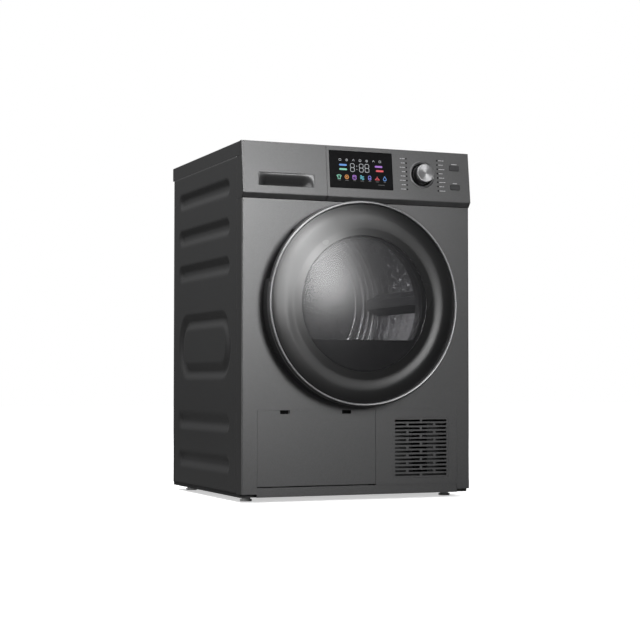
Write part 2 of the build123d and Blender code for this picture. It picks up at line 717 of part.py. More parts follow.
brick = (slot_right - slot_left + slot_bridge) / 2
with BuildPart() as vent_grille:
    block(
        (grille_left + rest_gap, grille_right - rest_gap),
        (depth(0.3), depth(lower_thickness)),
        (grille_bottom + rest_gap, grille_top - rest_gap),
    )
    for row in range(slot_rows):
        slot_z = grille_top - slot_margin - slot_height / 2 - row * slot_pitch
        start = slot_left - (brick / 2 if row % 2 else 0)
        for step in range(3):
            low = max(start + step * brick, slot_left)
            high = min(start + (step + 1) * brick - slot_bridge, slot_right)
            if high - low > slot_bridge:
                block(
                    (low, high),
                    (depth(-1), depth(lower_thickness + 1)),
                    (slot_z - slot_height / 2, slot_z + slot_height / 2),
                    Mode.SUBTRACT,
                )
save(vent_grille, "vent_grille")

# ------------------------------------------------------------- frame inside the case
leg_width = 80.0
filter_half, filter_front = 66.0, 18.0
roller_reach = drum_radius + roller_radius + rest_gap
with BuildPart() as front_bulkhead:
    block(
        (-bulkhead_half, bulkhead_half),
        (depth(bulkhead_y), depth(bulkhead_y + bulkhead_thickness)),
        (base_floor_z, bulkhead_top_z),
    )
    block(
        (-bulkhead_half + leg_width - 50, bulkhead_half - leg_width),
        (depth(bulkhead_y - 1), depth(bulkhead_y + 20)),
        (base_floor_z - 1, lower_top - 10),
        Mode.SUBTRACT,
    )
    disc(0, drum_z, depth(bulkhead_y), depth(drum_front - 2), collar_radius, collar_radius - collar_wall)
    disc(door_x, door_z, depth(throat_depth + 1), depth(bulkhead_y), throat_radius + 3)
    disc(door_x, door_z, depth(throat_depth), depth(bulkhead_y + 5), throat_radius, mode=Mode.SUBTRACT)
    block(
        (door_x - filter_half - rest_gap, door_x + filter_half + rest_gap),
        (depth(filter_front - rest_gap), depth(bulkhead_y)),
        (lower_top, door_z - 100),
        Mode.SUBTRACT,
    )
    for turn in (-roller_angle, roller_angle):
        axle_x, axle_z = roller_reach * sin(radians(turn)), drum_z - roller_reach * cos(radians(turn))
        disc(axle_x, axle_z, depth(bulkhead_y), depth(drum_front + 4), axle_radius + 5)
        disc(axle_x, axle_z, depth(bulkhead_y), depth(drum_front + 6 + roller_width + 4), axle_radius)
save(front_bulkhead, "front_bulkhead")

with BuildPart() as lint_filter:
    block(
        (door_x - filter_half, door_x + filter_half),
        (depth(filter_front), depth(bulkhead_y)),
        (lower_top + 4, door_z - 100),
    )
    disc(door_x, door_z, depth(filter_front - 1), depth(bulkhead_y + 1), throat_radius, mode=Mode.SUBTRACT)
    block(
        (door_x - filter_half + 3, door_x + filter_half - 3),
        (depth(filter_front + 3), depth(bulkhead_y - 3)),
        (lower_top + 7, door_z - throat_radius - 4),
        Mode.SUBTRACT,
    )
    block(
        (door_x - 40, door_x + 40),
        (depth(filter_front + 5), depth(bulkhead_y - 5)),
        (door_z - throat_radius - 5, door_z - throat_radius + 20),
        Mode.SUBTRACT,
    )
save(lint_filter, "lint_filter")

for turn, roller_side in ((-roller_angle, "left"), (roller_angle, "right")):
    axle_x, axle_z = roller_reach * sin(radians(turn)), drum_z - roller_reach * cos(radians(turn))
    with BuildPart() as drum_roller:
        disc(
            axle_x,
            axle_z,
            depth(drum_front + 6),
            depth(drum_front + 6 + roller_width),
            roller_radius,
            axle_radius + running_gap,
        )
        for groove_side in (depth(drum_front + 5), depth(drum_front + roller_width + 3)):
            disc(axle_x, axle_z, groove_side, groove_side + 4, roller_radius - 6, axle_radius + 6, Mode.SUBTRACT)
    save(drum_roller, f"drum_roller_{roller_side}")

with BuildPart() as rear_bulkhead:
    block(
        (-bulkhead_half, bulkhead_half),
        (rear_bulkhead_y, rear_bulkhead_y + bulkhead_thickness),
        (base_floor_z, bulkhead_top_z),
    )
    with BuildSketch(facing(0, rear_bulkhead_y - 1, drum_z)):
        with PolarLocations(150.0, 3, start_angle=90):
            Circle(52.0)
    extrude(amount=-(bulkhead_thickness + 2), mode=Mode.SUBTRACT)
    for boss in ("rear_left", "rear_right"):
        boss_x = foot_places[boss][0]
        room = foot_boss_radius + 2
        block(
            (boss_x - room, boss_x + room),
            (rear_bulkhead_y - 1, rear_bulkhead_y + bulkhead_thickness + 1),
            (base_floor_z - 1, base_floor_z + foot_boss_height + 2),
            Mode.SUBTRACT,
        )
    disc(0, drum_z, rear_bulkhead_y - 8, rear_bulkhead_y + 12, shaft_radius + 16)
    disc(0, drum_z, rear_bulkhead_y - 9, rear_bulkhead_y + 13, shaft_radius + running_gap, mode=Mode.SUBTRACT)
save(rear_bulkhead, "rear_bulkhead")

with BuildPart() as cross_members:
    member_half = inner_half - flange - rest_gap
    block((-member_half, member_half), (depth(22), depth(40)), (panel_top_z - 14, panel_top_z - sheet))
    block(
        (-member_half, member_half),
        (back_y - 24, back_y - sheet),
        (bulkhead_top_z + 2, bulkhead_top_z + 20),
    )
save(cross_members, "cross_members")

felt_inner = collar_radius + rest_gap
with BuildPart() as drum_seals:
    disc(0, drum_z, depth(drum_front - 12), depth(drum_front - 2), drum_mouth - rest_gap, felt_inner)
    disc(0, drum_z, drum_back_y + rest_gap, rear_bulkhead_y, felt_radius + 8, felt_radius)
save(drum_seals, "drum_seals")

# --------------------------------------------------------------------------- drum
with BuildPart() as drum_shell:
    disc(0, drum_z, drum_front_y, drum_back_y, drum_radius, drum_radius - drum_sheet)
    disc(0, drum_z, drum_front_y, drum_front_y + drum_sheet, drum_radius, drum_mouth)
    disc(0, drum_z, depth(drum_front - drum_neck), drum_front_y + drum_sheet, drum_mouth + drum_sheet, drum_mouth)
save(drum_shell, "drum_shell")

hub_radius = 55.0
hole_rings = ((70.0, 16), (95.0, 22), (120.0, 28), (145.0, 34), (170.0, 40), (195.0, 46))
with BuildPart() as drum_back:
    disc(0, drum_z, drum_back_y - drum_sheet, drum_back_y, drum_radius - drum_sheet)
    for hole_reach, hole_count in hole_rings:
        with BuildSketch(facing(0, drum_back_y - drum_sheet - 1, drum_z)):
            with PolarLocations(hole_reach, hole_count):
                Circle(3.5)
        extrude(amount=-(drum_sheet + 2), mode=Mode.SUBTRACT)
    disc(0, drum_z, drum_back_y, drum_back_y + 4, hub_radius)
    disc(0, drum_z, drum_back_y + 4, rear_bulkhead_y + 18, shaft_radius)
save(drum_back, "drum_back")

lifter_front, lifter_rear = drum_front_y + 24, drum_back_y - 8
lifter_seat = drum_radius - drum_sheet - rest_gap
with BuildPart() as drum_lifters:
    with BuildSketch(facing(0, lifter_front, drum_z)):
        with PolarLocations(lifter_seat - lifter_height / 2 + 4, lifter_count, start_angle=0):
            Trapezoid(lifter_base, lifter_height, 66.0, rotation=90)
    extrude(amount=lifter_front - lifter_rear)
    disc(0, drum_z, lifter_front - 1, lifter_rear + 1, drum_radius + 40, lifter_seat, Mode.SUBTRACT)
save(drum_lifters, "drum_lifters")

# -------------------------------------------------------------------------- drive

def belt_loop(grow):
    """Outline of a loop round the drum and the motor pulley."""
    rim, wheel = drum_radius + rest_gap + grow, pulley_radius + rest_gap + grow
    turns = (line_angle - wrap, line_angle + wrap)
    start, end = ((rim * cos(turn), drum_z + rim * sin(turn)) for turn in turns)
    low, high = ((motor_x + wheel * cos(turn), motor_z + wheel * sin(turn)) for turn in turns)
    far_side = (-rim * cos(line_angle), drum_z - rim * sin(line_angle))
    near_side = (motor_x + wheel * cos(line_angle), motor_z + wheel * sin(line_angle))
    with BuildLine() as outline:
        ThreePointArc(start, far_side, end)
        Line(end, high)
        ThreePointArc(high, near_side, low)
        Line(low, start)
    make_face(outline.edges())


with BuildPart() as drive_belt:
    with BuildSketch(facing(0, belt_front, 0)):
        belt_loop(belt_thickness)
    extrude(amount=belt_front - belt_rear)
    with BuildSketch(facing(0, belt_front, 0)) as inside_belt:
        belt_loop(0)
    extrude(inside_belt.sketch, amount=belt_front - belt_rear, mode=Mode.SUBTRACT)
save(drive_belt, "drive_belt")

motor_rear = motor_front + motor_length
with BuildPart() as motor_rotor:
    disc(motor_x, motor_z, depth(belt_y - 14), depth(fan_front + fan_width - 6), motor_shaft_radius)
    disc(motor_x, motor_z, belt_front - 1, belt_rear + 1, pulley_radius)
save(motor_rotor, "motor_rotor")

fan_blades = 12
with BuildPart() as blower_wheel:
    disc(motor_x, motor_z, depth(fan_front), depth(fan_front + 3), fan_radius, motor_shaft_radius)
    disc(motor_x, motor_z, depth(fan_front), depth(fan_front + 22), motor_shaft_radius + 8, motor_shaft_radius)
    with BuildSketch(facing(motor_x, depth(fan_front + 3), motor_z)):
        with PolarLocations(fan_radius - 16, fan_blades):
            Rectangle(28.0, 2.4, rotation=28)
    extrude(amount=-(fan_width - 6))
save(blower_wheel, "blower_wheel")

with BuildPart() as drive_motor:
    disc(motor_x, motor_z, depth(motor_front), depth(motor_rear), motor_radius)
    disc(motor_x, motor_z, depth(motor_front - 8), depth(motor_rear + 8), motor_shaft_radius + 9)
    block(
        (motor_x - 40, motor_x + 40),
        (depth(motor_front + 12), depth(motor_rear - 12)),
        (base_floor_z, motor_z - motor_radius + 14),
    )
    disc(
        motor_x,
        motor_z,
        depth(motor_front - 9),
        depth(motor_rear + 9),
        motor_shaft_radius + running_gap,
        mode=Mode.SUBTRACT,
    )
save(drive_motor, "drive_motor")

fan_case_wall = 2.5
fan_case_left, fan_case_right = motor_x - fan_radius - 12, motor_x + fan_radius + 12
fan_case_top = motor_z + fan_radius + 8
fan_case_front, fan_case_rear = fan_front - 6, fan_front + fan_width + 8
with BuildPart() as blower_housing:
    block(
        (fan_case_left, fan_case_right),
        (depth(fan_case_front), depth(fan_case_rear)),
        (base_floor_z, fan_case_top),
    )
    block(
        (fan_case_left + fan_case_wall, fan_case_right - fan_case_wall),
        (depth(fan_case_front + fan_case_wall), depth(fan_case_rear - fan_case_wall)),
        (base_floor_z + fan_case_wall, fan_case_top - fan_case_wall),
        Mode.SUBTRACT,
    )
    disc(motor_x, motor_z, depth(fan_case_front - 1), depth(fan_case_front + 4), 24.0, mode=Mode.SUBTRACT)
    disc(motor_x, motor_z, depth(fan_case_rear - 4), depth(fan_case_rear + 1), 45.0, mode=Mode.SUBTRACT)
save(blower_housing, "blower_housing")

with BuildPart() as idler_arm:
    with BuildSketch(facing(0, arm_front, 0)):
        with BuildLine():
            tilt = atan2(idler_z - pivot_z, idler_x - pivot_x)
            side_x, side_z = arm_half * sin(tilt), -arm_half * cos(tilt)
            Polyline(
                (pivot_x + side_x, pivot_z + side_z),
                (idler_x + side_x, idler_z + side_z),
                (idler_x - side_x, idler_z - side_z),
                (pivot_x - side_x, pivot_z - side_z),
                close=True,
            )
        make_face()
        with Locations((pivot_x, pivot_z), (idler_x, idler_z)):
            Circle(arm_half)
    extrude(amount=-arm_thickness)
    disc(idler_x, idler_z, belt_front - 3, arm_front, idler_pin)
    disc(pivot_x, pivot_z, arm_front - 1, arm_front + 5, pivot_pin + running_gap, mode=Mode.SUBTRACT)
save(idler_arm, "idler_arm")

with BuildPart() as idler_pulley:
    disc(idler_x, idler_z, belt_front - 1, belt_rear + 1, idler_radius, idler_pin + running_gap)
save(idler_pulley, "idler_pulley")

# ---------------------------------------------------------------------- heat pump
fin_pitch, fin_thickness = 9.0, 1.0
coil_inset = 14.0
with BuildPart() as exchanger_housing:
    block(
        (exchanger_left, exchanger_right),
        (depth(exchanger_front), depth(exchanger_rear)),
        (base_floor_z, exchanger_top),
    )
    block(
        (exchanger_left + exchanger_wall, exchanger_right - exchanger_wall),
        (depth(exchanger_front - 1), depth(exchanger_rear - exchanger_wall)),
        (base_floor_z + exchanger_wall, exchanger_top - exchanger_wall),
        Mode.SUBTRACT,
    )
save(exchanger_housing, "exchanger_housing")

with BuildPart() as exchanger_cover:
    block(
        (exchanger_left + 3, exchanger_right - 3),
        (depth(exchanger_front - 4), depth(exchanger_front)),
        (base_floor_z + 2, exchanger_top - 2),
    )
    for latch_side in (exchanger_left + 24, exchanger_right - 24):
        block(
            (latch_side - 5, latch_side + 5),
            (depth(exchanger_front - 9), depth(exchanger_front - 4)),
            (exchanger_top / 2 - 18, exchanger_top / 2 + 30),
        )
save(exchanger_cover, "exchanger_cover")

coil_low, coil_high = base_floor_z + exchanger_wall, exchanger_top - 12
coil_left, coil_right = exchanger_left + coil_inset, exchanger_right - coil_inset
with BuildPart() as exchanger_coils:
    for coil_front, coil_rear in ((exchanger_front + 16, exchanger_front + 122), (exchanger_front + 146, exchanger_rear - 20)):
        for end_x in (coil_left, coil_right - 2):
            block((end_x, end_x + 2), (depth(coil_front), depth(coil_rear)), (coil_low, coil_high))
        fin_count = int((coil_right - coil_left - 6) / fin_pitch)
        for fin in range(1, fin_count + 1):
            fin_x = coil_left + fin * fin_pitch
            block(
                (fin_x, fin_x + fin_thickness),
                (depth(coil_front + 2), depth(coil_rear - 2)),
                (coil_low, coil_high - 6),
            )
        for tube_z in (coil_low + 40, coil_low + 80, coil_low + 120):
            for tube_y in (depth(coil_front + 26), depth(coil_rear - 26)):
                with BuildSketch(Plane.YZ.offset(coil_left)):
                    with Locations((tube_y, tube_z)):
                        Circle(4.5)
                extrude(amount=coil_right - coil_left)
save(exchanger_coils, "exchanger_coils")

compressor_y = depth(compressor_depth)
compressor_foot = 6.0
compressor_top = base_floor_z + compressor_foot + compressor_height
with BuildPart() as compressor:
    upright(compressor_x, compressor_y, base_floor_z, base_floor_z + compressor_foot, compressor_radius + 10)
    upright(compressor_x, compressor_y, base_floor_z, compressor_top, compressor_radius)
    fillet(compressor.edges().filter_by(GeomType.CIRCLE).sort_by(Axis.Z)[-1], 24.0)
save(compressor, "compressor")

pipe_radius = 4.5
with BuildPart() as refrigerant_pipes:
    for pipe_x, coil_y, rise in ((compressor_x - 18, depth(98), 24.0), (compressor_x + 12, depth(297), 36.0)):
        with BuildLine() as route:
            FilletPolyline(
                (pipe_x, compressor_y, compressor_top + 0.2),
                (pipe_x, compressor_y, compressor_top + rise),
                (exchanger_right + 30, compressor_y, compressor_top + rise),
                (exchanger_right + 30, coil_y, compressor_top + rise),
                (exchanger_right + 30, coil_y, exchanger_top - 40),
                (exchanger_right + 0.3, coil_y, exchanger_top - 40),
                radius=14.0,
            )
        with BuildSketch(Plane(origin=route.line @ 0, z_dir=route.line % 0)):
            Circle(pipe_radius)
        sweep(path=route.line)
save(refrigerant_pipes, "refrigerant_pipes")

pump_x, pump_back = 20.0, 74.0
with BuildPart() as drain_pump:
    upright(pump_x, back_y - pump_back, base_floor_z, base_floor_z + 36, 24.0)
    upright(pump_x, back_y - pump_back, base_floor_z + 36, base_floor_z + 62, 17.0)
    block(
        (pump_x + 20, pump_x + 44),
        (back_y - pump_back - 5, back_y - pump_back + 5),
        (base_floor_z + 8, base_floor_z + 18),
    )
save(drain_pump, "drain_pump")

# --------------------------------------------------------------------------- door
grip_start, grip_end = 13.0, 45.0  # degrees above the horizontal, on the opening side
grip_depth, grip_front = 15.0, 32.0
trim_outer = ring_radius - ring_width - 0.5
with BuildPart() as door_frame:
    door_ring(
        (
            (rim_radius - rim_wall, rim_rear),
            (rim_radius, rim_rear),
            (rim_radius, rim_front - 2),
            (rim_radius - 2, rim_front),
            (trim_outer + 0.2, rim_front),
            (trim_outer + 0.2, rim_front - rim_wall),
            (rim_radius - rim_wall, rim_front - rim_wall),
        )
    )
    with BuildSketch(facing(door_x, depth(-rim_rear), door_z)):
        with BuildLine():
            CenterArc((0, 0), rim_radius - 0.5, 180 - grip_end - 2, grip_end - grip_start + 4)
            CenterArc((0, 0), rim_radius - grip_depth - 2, 180 - grip_end - 2, grip_end - grip_start + 4)
            for turn in (180 - grip_end - 2, 180 - grip_start + 2):
                Line(
                    Vector(rim_radius - 0.5, 0).rotate(Axis.Z, turn),
                    Vector(rim_radius - grip_depth - 2, 0).rotate(Axis.Z, turn),
                )
        make_face()
    extrude(amount=grip_front + 2 - rim_rear)
    with BuildSketch(facing(door_x, depth(-rim_rear + 1), door_z)):
        with BuildLine():
            CenterArc((0, 0), rim_radius + 2, 180 - grip_end, grip_end - grip_start)
            CenterArc((0, 0), rim_radius - grip_depth, 180 - grip_end, grip_end - grip_start)
            for turn in (180 - grip_end, 180 - grip_start):
                Line(
                    Vector(rim_radius + 2, 0).rotate(Axis.Z, turn),
                    Vector(rim_radius - grip_depth, 0).rotate(Axis.Z, turn),
                )
        make_face()
    extrude(amount=grip_front - rim_rear + 1, mode=Mode.SUBTRACT)
    block(
        (hinge_x, door_x + rim_radius + 1),
        (depth(-hinge_out - hinge_notch), depth(0)),
        (door_z - hinge_span - 6, door_z + hinge_span + 6),
        Mode.SUBTRACT,
    )
save(door_frame, "door_frame")

with BuildPart() as door_chrome_ring:
    door_ring(
        (
            (ring_radius - ring_width, rim_front),
            (ring_radius, rim_front),
            (ring_radius, door_stand - 2),
            (ring_radius - 2, door_stand),
            (ring_radius - ring_width + 1.5, door_stand),
            (ring_radius - ring_width, door_stand - 1.5),
        )
    )
save(door_chrome_ring, "door_chrome_ring")

trim_front = door_stand - 2.5
with BuildPart() as door_trim_ring:
    with BuildSketch(Plane(origin=(door_x, front_y, door_z), x_dir=(1, 0, 0), z_dir=(0, 0, 1))) as trim_section:
        with BuildLine():
            outer, inner = (trim_outer, -trim_front), (window_radius, -trim_front + trim_dish)
            middle = ((trim_outer + window_radius) / 2 + 6, -trim_front + trim_dish / 2 - 4)
            shift = Vector(0, trim_thickness)
            ThreePointArc(outer, middle, inner)
            Line(inner, Vector(*inner) + shift)
            ThreePointArc(Vector(*inner) + shift, Vector(*middle) + shift, Vector(*outer) + shift)
            Line(Vector(*outer) + shift, outer)
        make_face()
    revolve(trim_section.sketch, axis=Axis((door_x, front_y, door_z), (0, 1, 0)))
save(door_trim_ring, "door_trim_ring")

window_front = trim_front - trim_dish
with BuildPart() as door_window:
    disc(
        door_x,
        door_z,
        depth(-window_front),
        depth(-window_front + window_thickness),
        window_radius - rest_gap,
    )
save(door_window, "door_window")

inner_front, inner_rear = 10.0, 6.0
grip_clear = rim_radius - grip_depth - 2 - rest_gap
shield_front = -window_front + window_thickness
with BuildPart() as door_inner_frame:
    disc(door_x, door_z, depth(shield_front), depth(shield_front + 2), window_radius - 3)
    block(
        (door_x - window_radius, door_x + window_radius),
        (depth(shield_front - 1), depth(shield_front + 3)),
        (door_z - shield_drop, door_z + window_radius),
        Mode.SUBTRACT,
    )
    disc(door_x, door_z, depth(-inner_front), depth(-inner_rear), grip_clear, bowl_radius + 1)
    disc(
        door_x,
        door_z,
        depth(-window_front + window_thickness),
        depth(-inner_rear),
        window_radius + 3,
        window_radius - 4,
    )
    block(
        (hinge_x - 26, door_x + rim_radius),
        (depth(-inner_front - 1), depth(-inner_rear + 1)),
        (door_z - hinge_span - 4, door_z + hinge_span + 4),
        Mode.SUBTRACT,
    )
save(door_inner_frame, "door_inner_frame")

with BuildPart() as door_bowl:
    door_ring(
        (
            (bowl_radius, inner_front),
            (bowl_radius, inner_front + 3),
            (bowl_radius - bowl_wall - 4, inner_front + 3),
            (bowl_end_radius - bowl_wall, -bowl_depth + bowl_wall),
            (0, -bowl_depth + bowl_wall),
            (0, -bowl_depth),
            (bowl_end_radius, -bowl_depth),
            (bowl_radius - 3, inner_front),
        )
    )
save(door_bowl, "door_bowl")

with BuildPart() as door_seal:
    disc(door_x, door_z, depth(-inner_rear), depth(-rest_gap), seal_radius + seal_width, seal_radius)
save(door_seal, "door_seal")

knuckle_radius = 5.5
arm_reach, arm_half_sheet = 44.0, 1.5
bracket_near, bracket_far = 11.0, 24.0  # the hinge bracket's base, left of the hinge axis
hinge_y = depth(-hinge_out)
knuckle_half = hinge_span - lug_thickness - rest_gap
with BuildPart() as door_hinge_arm:
    upright(hinge_x, hinge_y, door_z - knuckle_half, door_z + knuckle_half, knuckle_radius)
    block(
        (hinge_x - arm_reach, hinge_x),
        (hinge_y - arm_half_sheet, hinge_y + arm_half_sheet),
        (door_z - knuckle_half, door_z + knuckle_half),
    )
    block(
        (hinge_x - arm_reach, hinge_x - arm_reach + 4),
        (hinge_y - arm_half_sheet, depth(-inner_front)),
        (door_z - knuckle_half, door_z + knuckle_half),
    )
    upright(
        hinge_x,
        hinge_y,
        door_z - hinge_span,
        door_z + hinge_span,
        hinge_pin_radius + running_gap,
        Mode.SUBTRACT,
    )
save(door_hinge_arm, "door_hinge_arm")

with BuildPart() as hinge_bracket:
    for lug_low in (door_z - hinge_span, door_z + hinge_span - lug_thickness):
        with BuildSketch(Plane.XY.offset(lug_low)):
            with BuildLine():
                Polyline(
                    (hinge_x - knuckle_radius, hinge_y),
                    (hinge_x - bracket_far, depth(-8)),
                    (hinge_x - bracket_far, depth(0)),
                    (hinge_x - bracket_near, depth(0)),
                    (hinge_x - bracket_near, depth(-6)),
                    (hinge_x + 4.2, hinge_y + 3.6),
                    close=True,
                )
            make_face()
            with Locations((hinge_x, hinge_y)):
                Circle(knuckle_radius)
        extrude(amount=lug_thickness)
    block(
        (hinge_x - bracket_far, hinge_x - bracket_near),
        (depth(-3), depth(0)),
        (door_z - hinge_span - 5, door_z + hinge_span + 5),
    )
    upright(hinge_x, hinge_y, door_z - hinge_span, door_z + hinge_span, hinge_pin_radius)
save(hinge_bracket, "hinge_bracket")

with BuildPart() as door_latch_hook:
    block((latch_x - 4, latch_x + 4), (depth(-inner_rear), depth(15)), (door_z - 8, door_z + 8))
    block((latch_x - 6, latch_x + 4), (depth(10), depth(16)), (door_z - 8, door_z + 8))
save(door_latch_hook, "door_latch_hook")

with BuildPart() as door_strike:
    block((latch_x - 16, latch_x + 16), (depth(sheet), depth(26)), (door_z - 22, door_z + 22))
    block((latch_x - 12, latch_x + 12), (depth(0), depth(24)), (door_z - 16, door_z + 16), Mode.SUBTRACT)
save(door_strike, "door_strike")

screw_radius, screw_head = 4.0, 2.0
with BuildPart() as cabinet_screws:
    for screw_x in (-half_width + 8, 0, half_width - 8):
        for screw_z in (60.0, side_top_z - 12):
            disc(screw_x, screw_z, back_y + sheet, back_y + sheet + screw_head, screw_radius)
save(cabinet_screws, "cabinet_screws")
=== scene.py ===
"""Clothes dryer: looks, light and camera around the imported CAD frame. Metres, +Z up, front faces -Y."""

import json
import math
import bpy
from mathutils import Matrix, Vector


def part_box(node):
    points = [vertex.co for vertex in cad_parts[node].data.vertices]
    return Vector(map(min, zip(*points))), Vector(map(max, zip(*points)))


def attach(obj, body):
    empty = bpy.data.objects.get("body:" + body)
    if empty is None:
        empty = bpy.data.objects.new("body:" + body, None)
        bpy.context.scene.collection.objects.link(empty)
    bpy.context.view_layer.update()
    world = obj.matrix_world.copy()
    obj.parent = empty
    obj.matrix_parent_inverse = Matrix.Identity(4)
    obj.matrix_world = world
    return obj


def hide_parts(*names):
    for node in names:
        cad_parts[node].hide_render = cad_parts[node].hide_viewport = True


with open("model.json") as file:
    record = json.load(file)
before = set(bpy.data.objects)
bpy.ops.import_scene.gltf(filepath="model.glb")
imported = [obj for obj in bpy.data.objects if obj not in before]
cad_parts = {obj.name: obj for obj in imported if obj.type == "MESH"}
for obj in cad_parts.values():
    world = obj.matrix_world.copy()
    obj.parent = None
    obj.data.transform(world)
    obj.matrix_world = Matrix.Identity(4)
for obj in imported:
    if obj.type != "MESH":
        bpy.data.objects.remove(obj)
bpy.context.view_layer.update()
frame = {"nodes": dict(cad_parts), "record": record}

import bmesh
import bpy
from mathutils import Matrix, Vector

MM = 0.001
NODES = frame["nodes"]
SLOT_OF = {part["node"]: part["material_slot"] for part in frame["record"]["subparts"]}


# ------------------------------------------------------------------ places from the frame
def span(node):
    """Lowest corner, highest corner and middle of a CAD node."""
    low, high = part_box(node)
    return low, high, (low + high) / 2


PANEL_LOW, PANEL_HIGH, _ = span("front_panel")
SIDE_LOW, SIDE_HIGH, _ = span("left_side_panel")
RING_LOW, RING_HIGH, RING_MID = span("door_chrome_ring")
GLASS_LOW, GLASS_HIGH, _ = span("door_window")
DRUM_LOW, DRUM_HIGH, DRUM_MID = span("drum_shell")
HALF_WIDTH = PANEL_HIGH.x
FRONT_Y = PANEL_LOW.y
DOOR_X, DOOR_Z = RING_MID.x, RING_MID.z


def behind(amount):
    """Y of a place this many millimetres behind the front panel's face."""
    return FRONT_Y + amount * MM


# --------------------------------------------------------------------------- materials
def shader_nodes(name):
    """A new material with its nodes, its links and its main shader."""
    material = bpy.data.materials.new(name)
    material.use_nodes = True
    nodes = material.node_tree.nodes
    return material, nodes, material.node_tree.links, nodes["Principled BSDF"]


def pattern(nodes, links, kind, scale, stretch=(1, 1, 1), detail=3.0):
    """A procedural texture on object coordinates, as the socket that carries its value."""
    place = nodes.new("ShaderNodeTexCoord")
    mapping = nodes.new("ShaderNodeMapping")
    mapping.inputs["Scale"].default_value = stretch
    links.new(place.outputs["Object"], mapping.inputs["Vector"])
    texture = nodes.new({"noise": "ShaderNodeTexNoise", "cells": "ShaderNodeTexVoronoi"}[kind])
    texture.inputs["Scale"].default_value = scale
    if kind == "noise":
        texture.inputs["Detail"].default_value = detail
    links.new(mapping.outputs["Vector"], texture.inputs["Vector"])
    return texture.outputs["Fac" if kind == "noise" else "Distance"]


def spread(nodes, links, value, low, high, from_low=0.3, from_high=0.7):
    """A value moved into another range."""
    remap = nodes.new("ShaderNodeMapRange")
    remap.inputs["From Min"].default_value = from_low
    remap.inputs["From Max"].default_value = from_high
    remap.inputs["To Min"].default_value = low
    remap.inputs["To Max"].default_value = high
    links.new(value, remap.inputs["Value"])
    return remap.outputs["Result"]


def two_tone(nodes, links, value, first, second):
    """Colour that runs between two tones as a value goes from 0.35 to 0.65."""
    ramp = nodes.new("ShaderNodeValToRGB")
    ramp.color_ramp.elements[0].position = 0.35
    ramp.color_ramp.elements[1].position = 0.65
    ramp.color_ramp.elements[0].color = (*first, 1)
    ramp.color_ramp.elements[1].color = (*second, 1)
    links.new(value, ramp.inputs["Fac"])
    return ramp.outputs["Color"]


def relief(nodes, links, value, shader, strength, distance):
    """Fine bumps from a value, on a shader."""
    bump = nodes.new("ShaderNodeBump")
    bump.inputs["Strength"].default_value = strength
    bump.inputs["Distance"].default_value = distance
    links.new(value, bump.inputs["Height"])
    links.new(bump.outputs["Normal"], shader.inputs["Normal"])


def finish(
    name, colour, rough=0.5, metallic=0.0, vary=0.12, grain=40.0, grain_stretch=(1, 1, 1),
    texture=900.0, texture_stretch=(1, 1, 1), depth=0.02, kind="noise", rough_vary=0.06,
    sheen=0.0, ior=1.5, anisotropy=0.0,
):
    """Opaque material: mottled colour, uneven gloss and a fine relief, from the values given."""
    material, nodes, links, shader = shader_nodes(name)
    shader.inputs["Metallic"].default_value = metallic
    shader.inputs["IOR"].default_value = ior
    shader.inputs["Sheen Weight"].default_value = sheen
    shader.inputs["Anisotropic"].default_value = anisotropy
    mottle = pattern(nodes, links, "noise", grain, grain_stretch)
    darker = tuple(channel * (1 - vary) for channel in colour)
    lighter = tuple(min(channel * (1 + vary), 1.0) for channel in colour)
    links.new(two_tone(nodes, links, mottle, darker, lighter), shader.inputs["Base Color"])
    gloss = pattern(nodes, links, "noise", grain * 2.7, grain_stretch)
    uneven = spread(nodes, links, gloss, rough - rough_vary, rough + rough_vary)
    links.new(uneven, shader.inputs["Roughness"])
    fine = pattern(nodes, links, kind, texture, texture_stretch, detail=2.0)
    relief(nodes, links, fine, shader, 0.35, depth * MM)
    return material


def metallic_paint(name, colour, rough, flake=0.18):
    """Metallic lacquer: small flakes of two tones, a slow drift in tone, orange-peel relief."""
    material, nodes, links, shader = shader_nodes(name)
    shader.inputs["Metallic"].default_value = 0.8
    shader.inputs["Coat Weight"].default_value = 0.12
    shader.inputs["Coat Roughness"].default_value = 0.28
    flakes = pattern(nodes, links, "cells", 1500.0)
    drift = pattern(nodes, links, "noise", 2.2, detail=1.0)
    dark = tuple(channel * (1 - flake) for channel in colour)
    light = tuple(channel * (1 + flake) for channel in colour)
    speckle = two_tone(nodes, links, flakes, light, dark)
    tone = nodes.new("ShaderNodeMix")
    tone.data_type = "RGBA"
    tone.blend_type = "MULTIPLY"
    tone.inputs["Factor"].default_value = 1.0
    links.new(speckle, tone.inputs["A"])
    links.new(two_tone(nodes, links, drift, (0.95,) * 3, (1.0,) * 3), tone.inputs["B"])
    links.new(tone.outputs["Result"], shader.inputs["Base Color"])
    uneven = spread(nodes, links, flakes, rough - 0.04, rough + 0.04, 0.2, 0.8)
    links.new(uneven, shader.inputs["Roughness"])
    peel = pattern(nodes, links, "noise", 420.0, detail=1.0)
    relief(nodes, links, peel, shader, 0.12, 0.012 * MM)
    return material


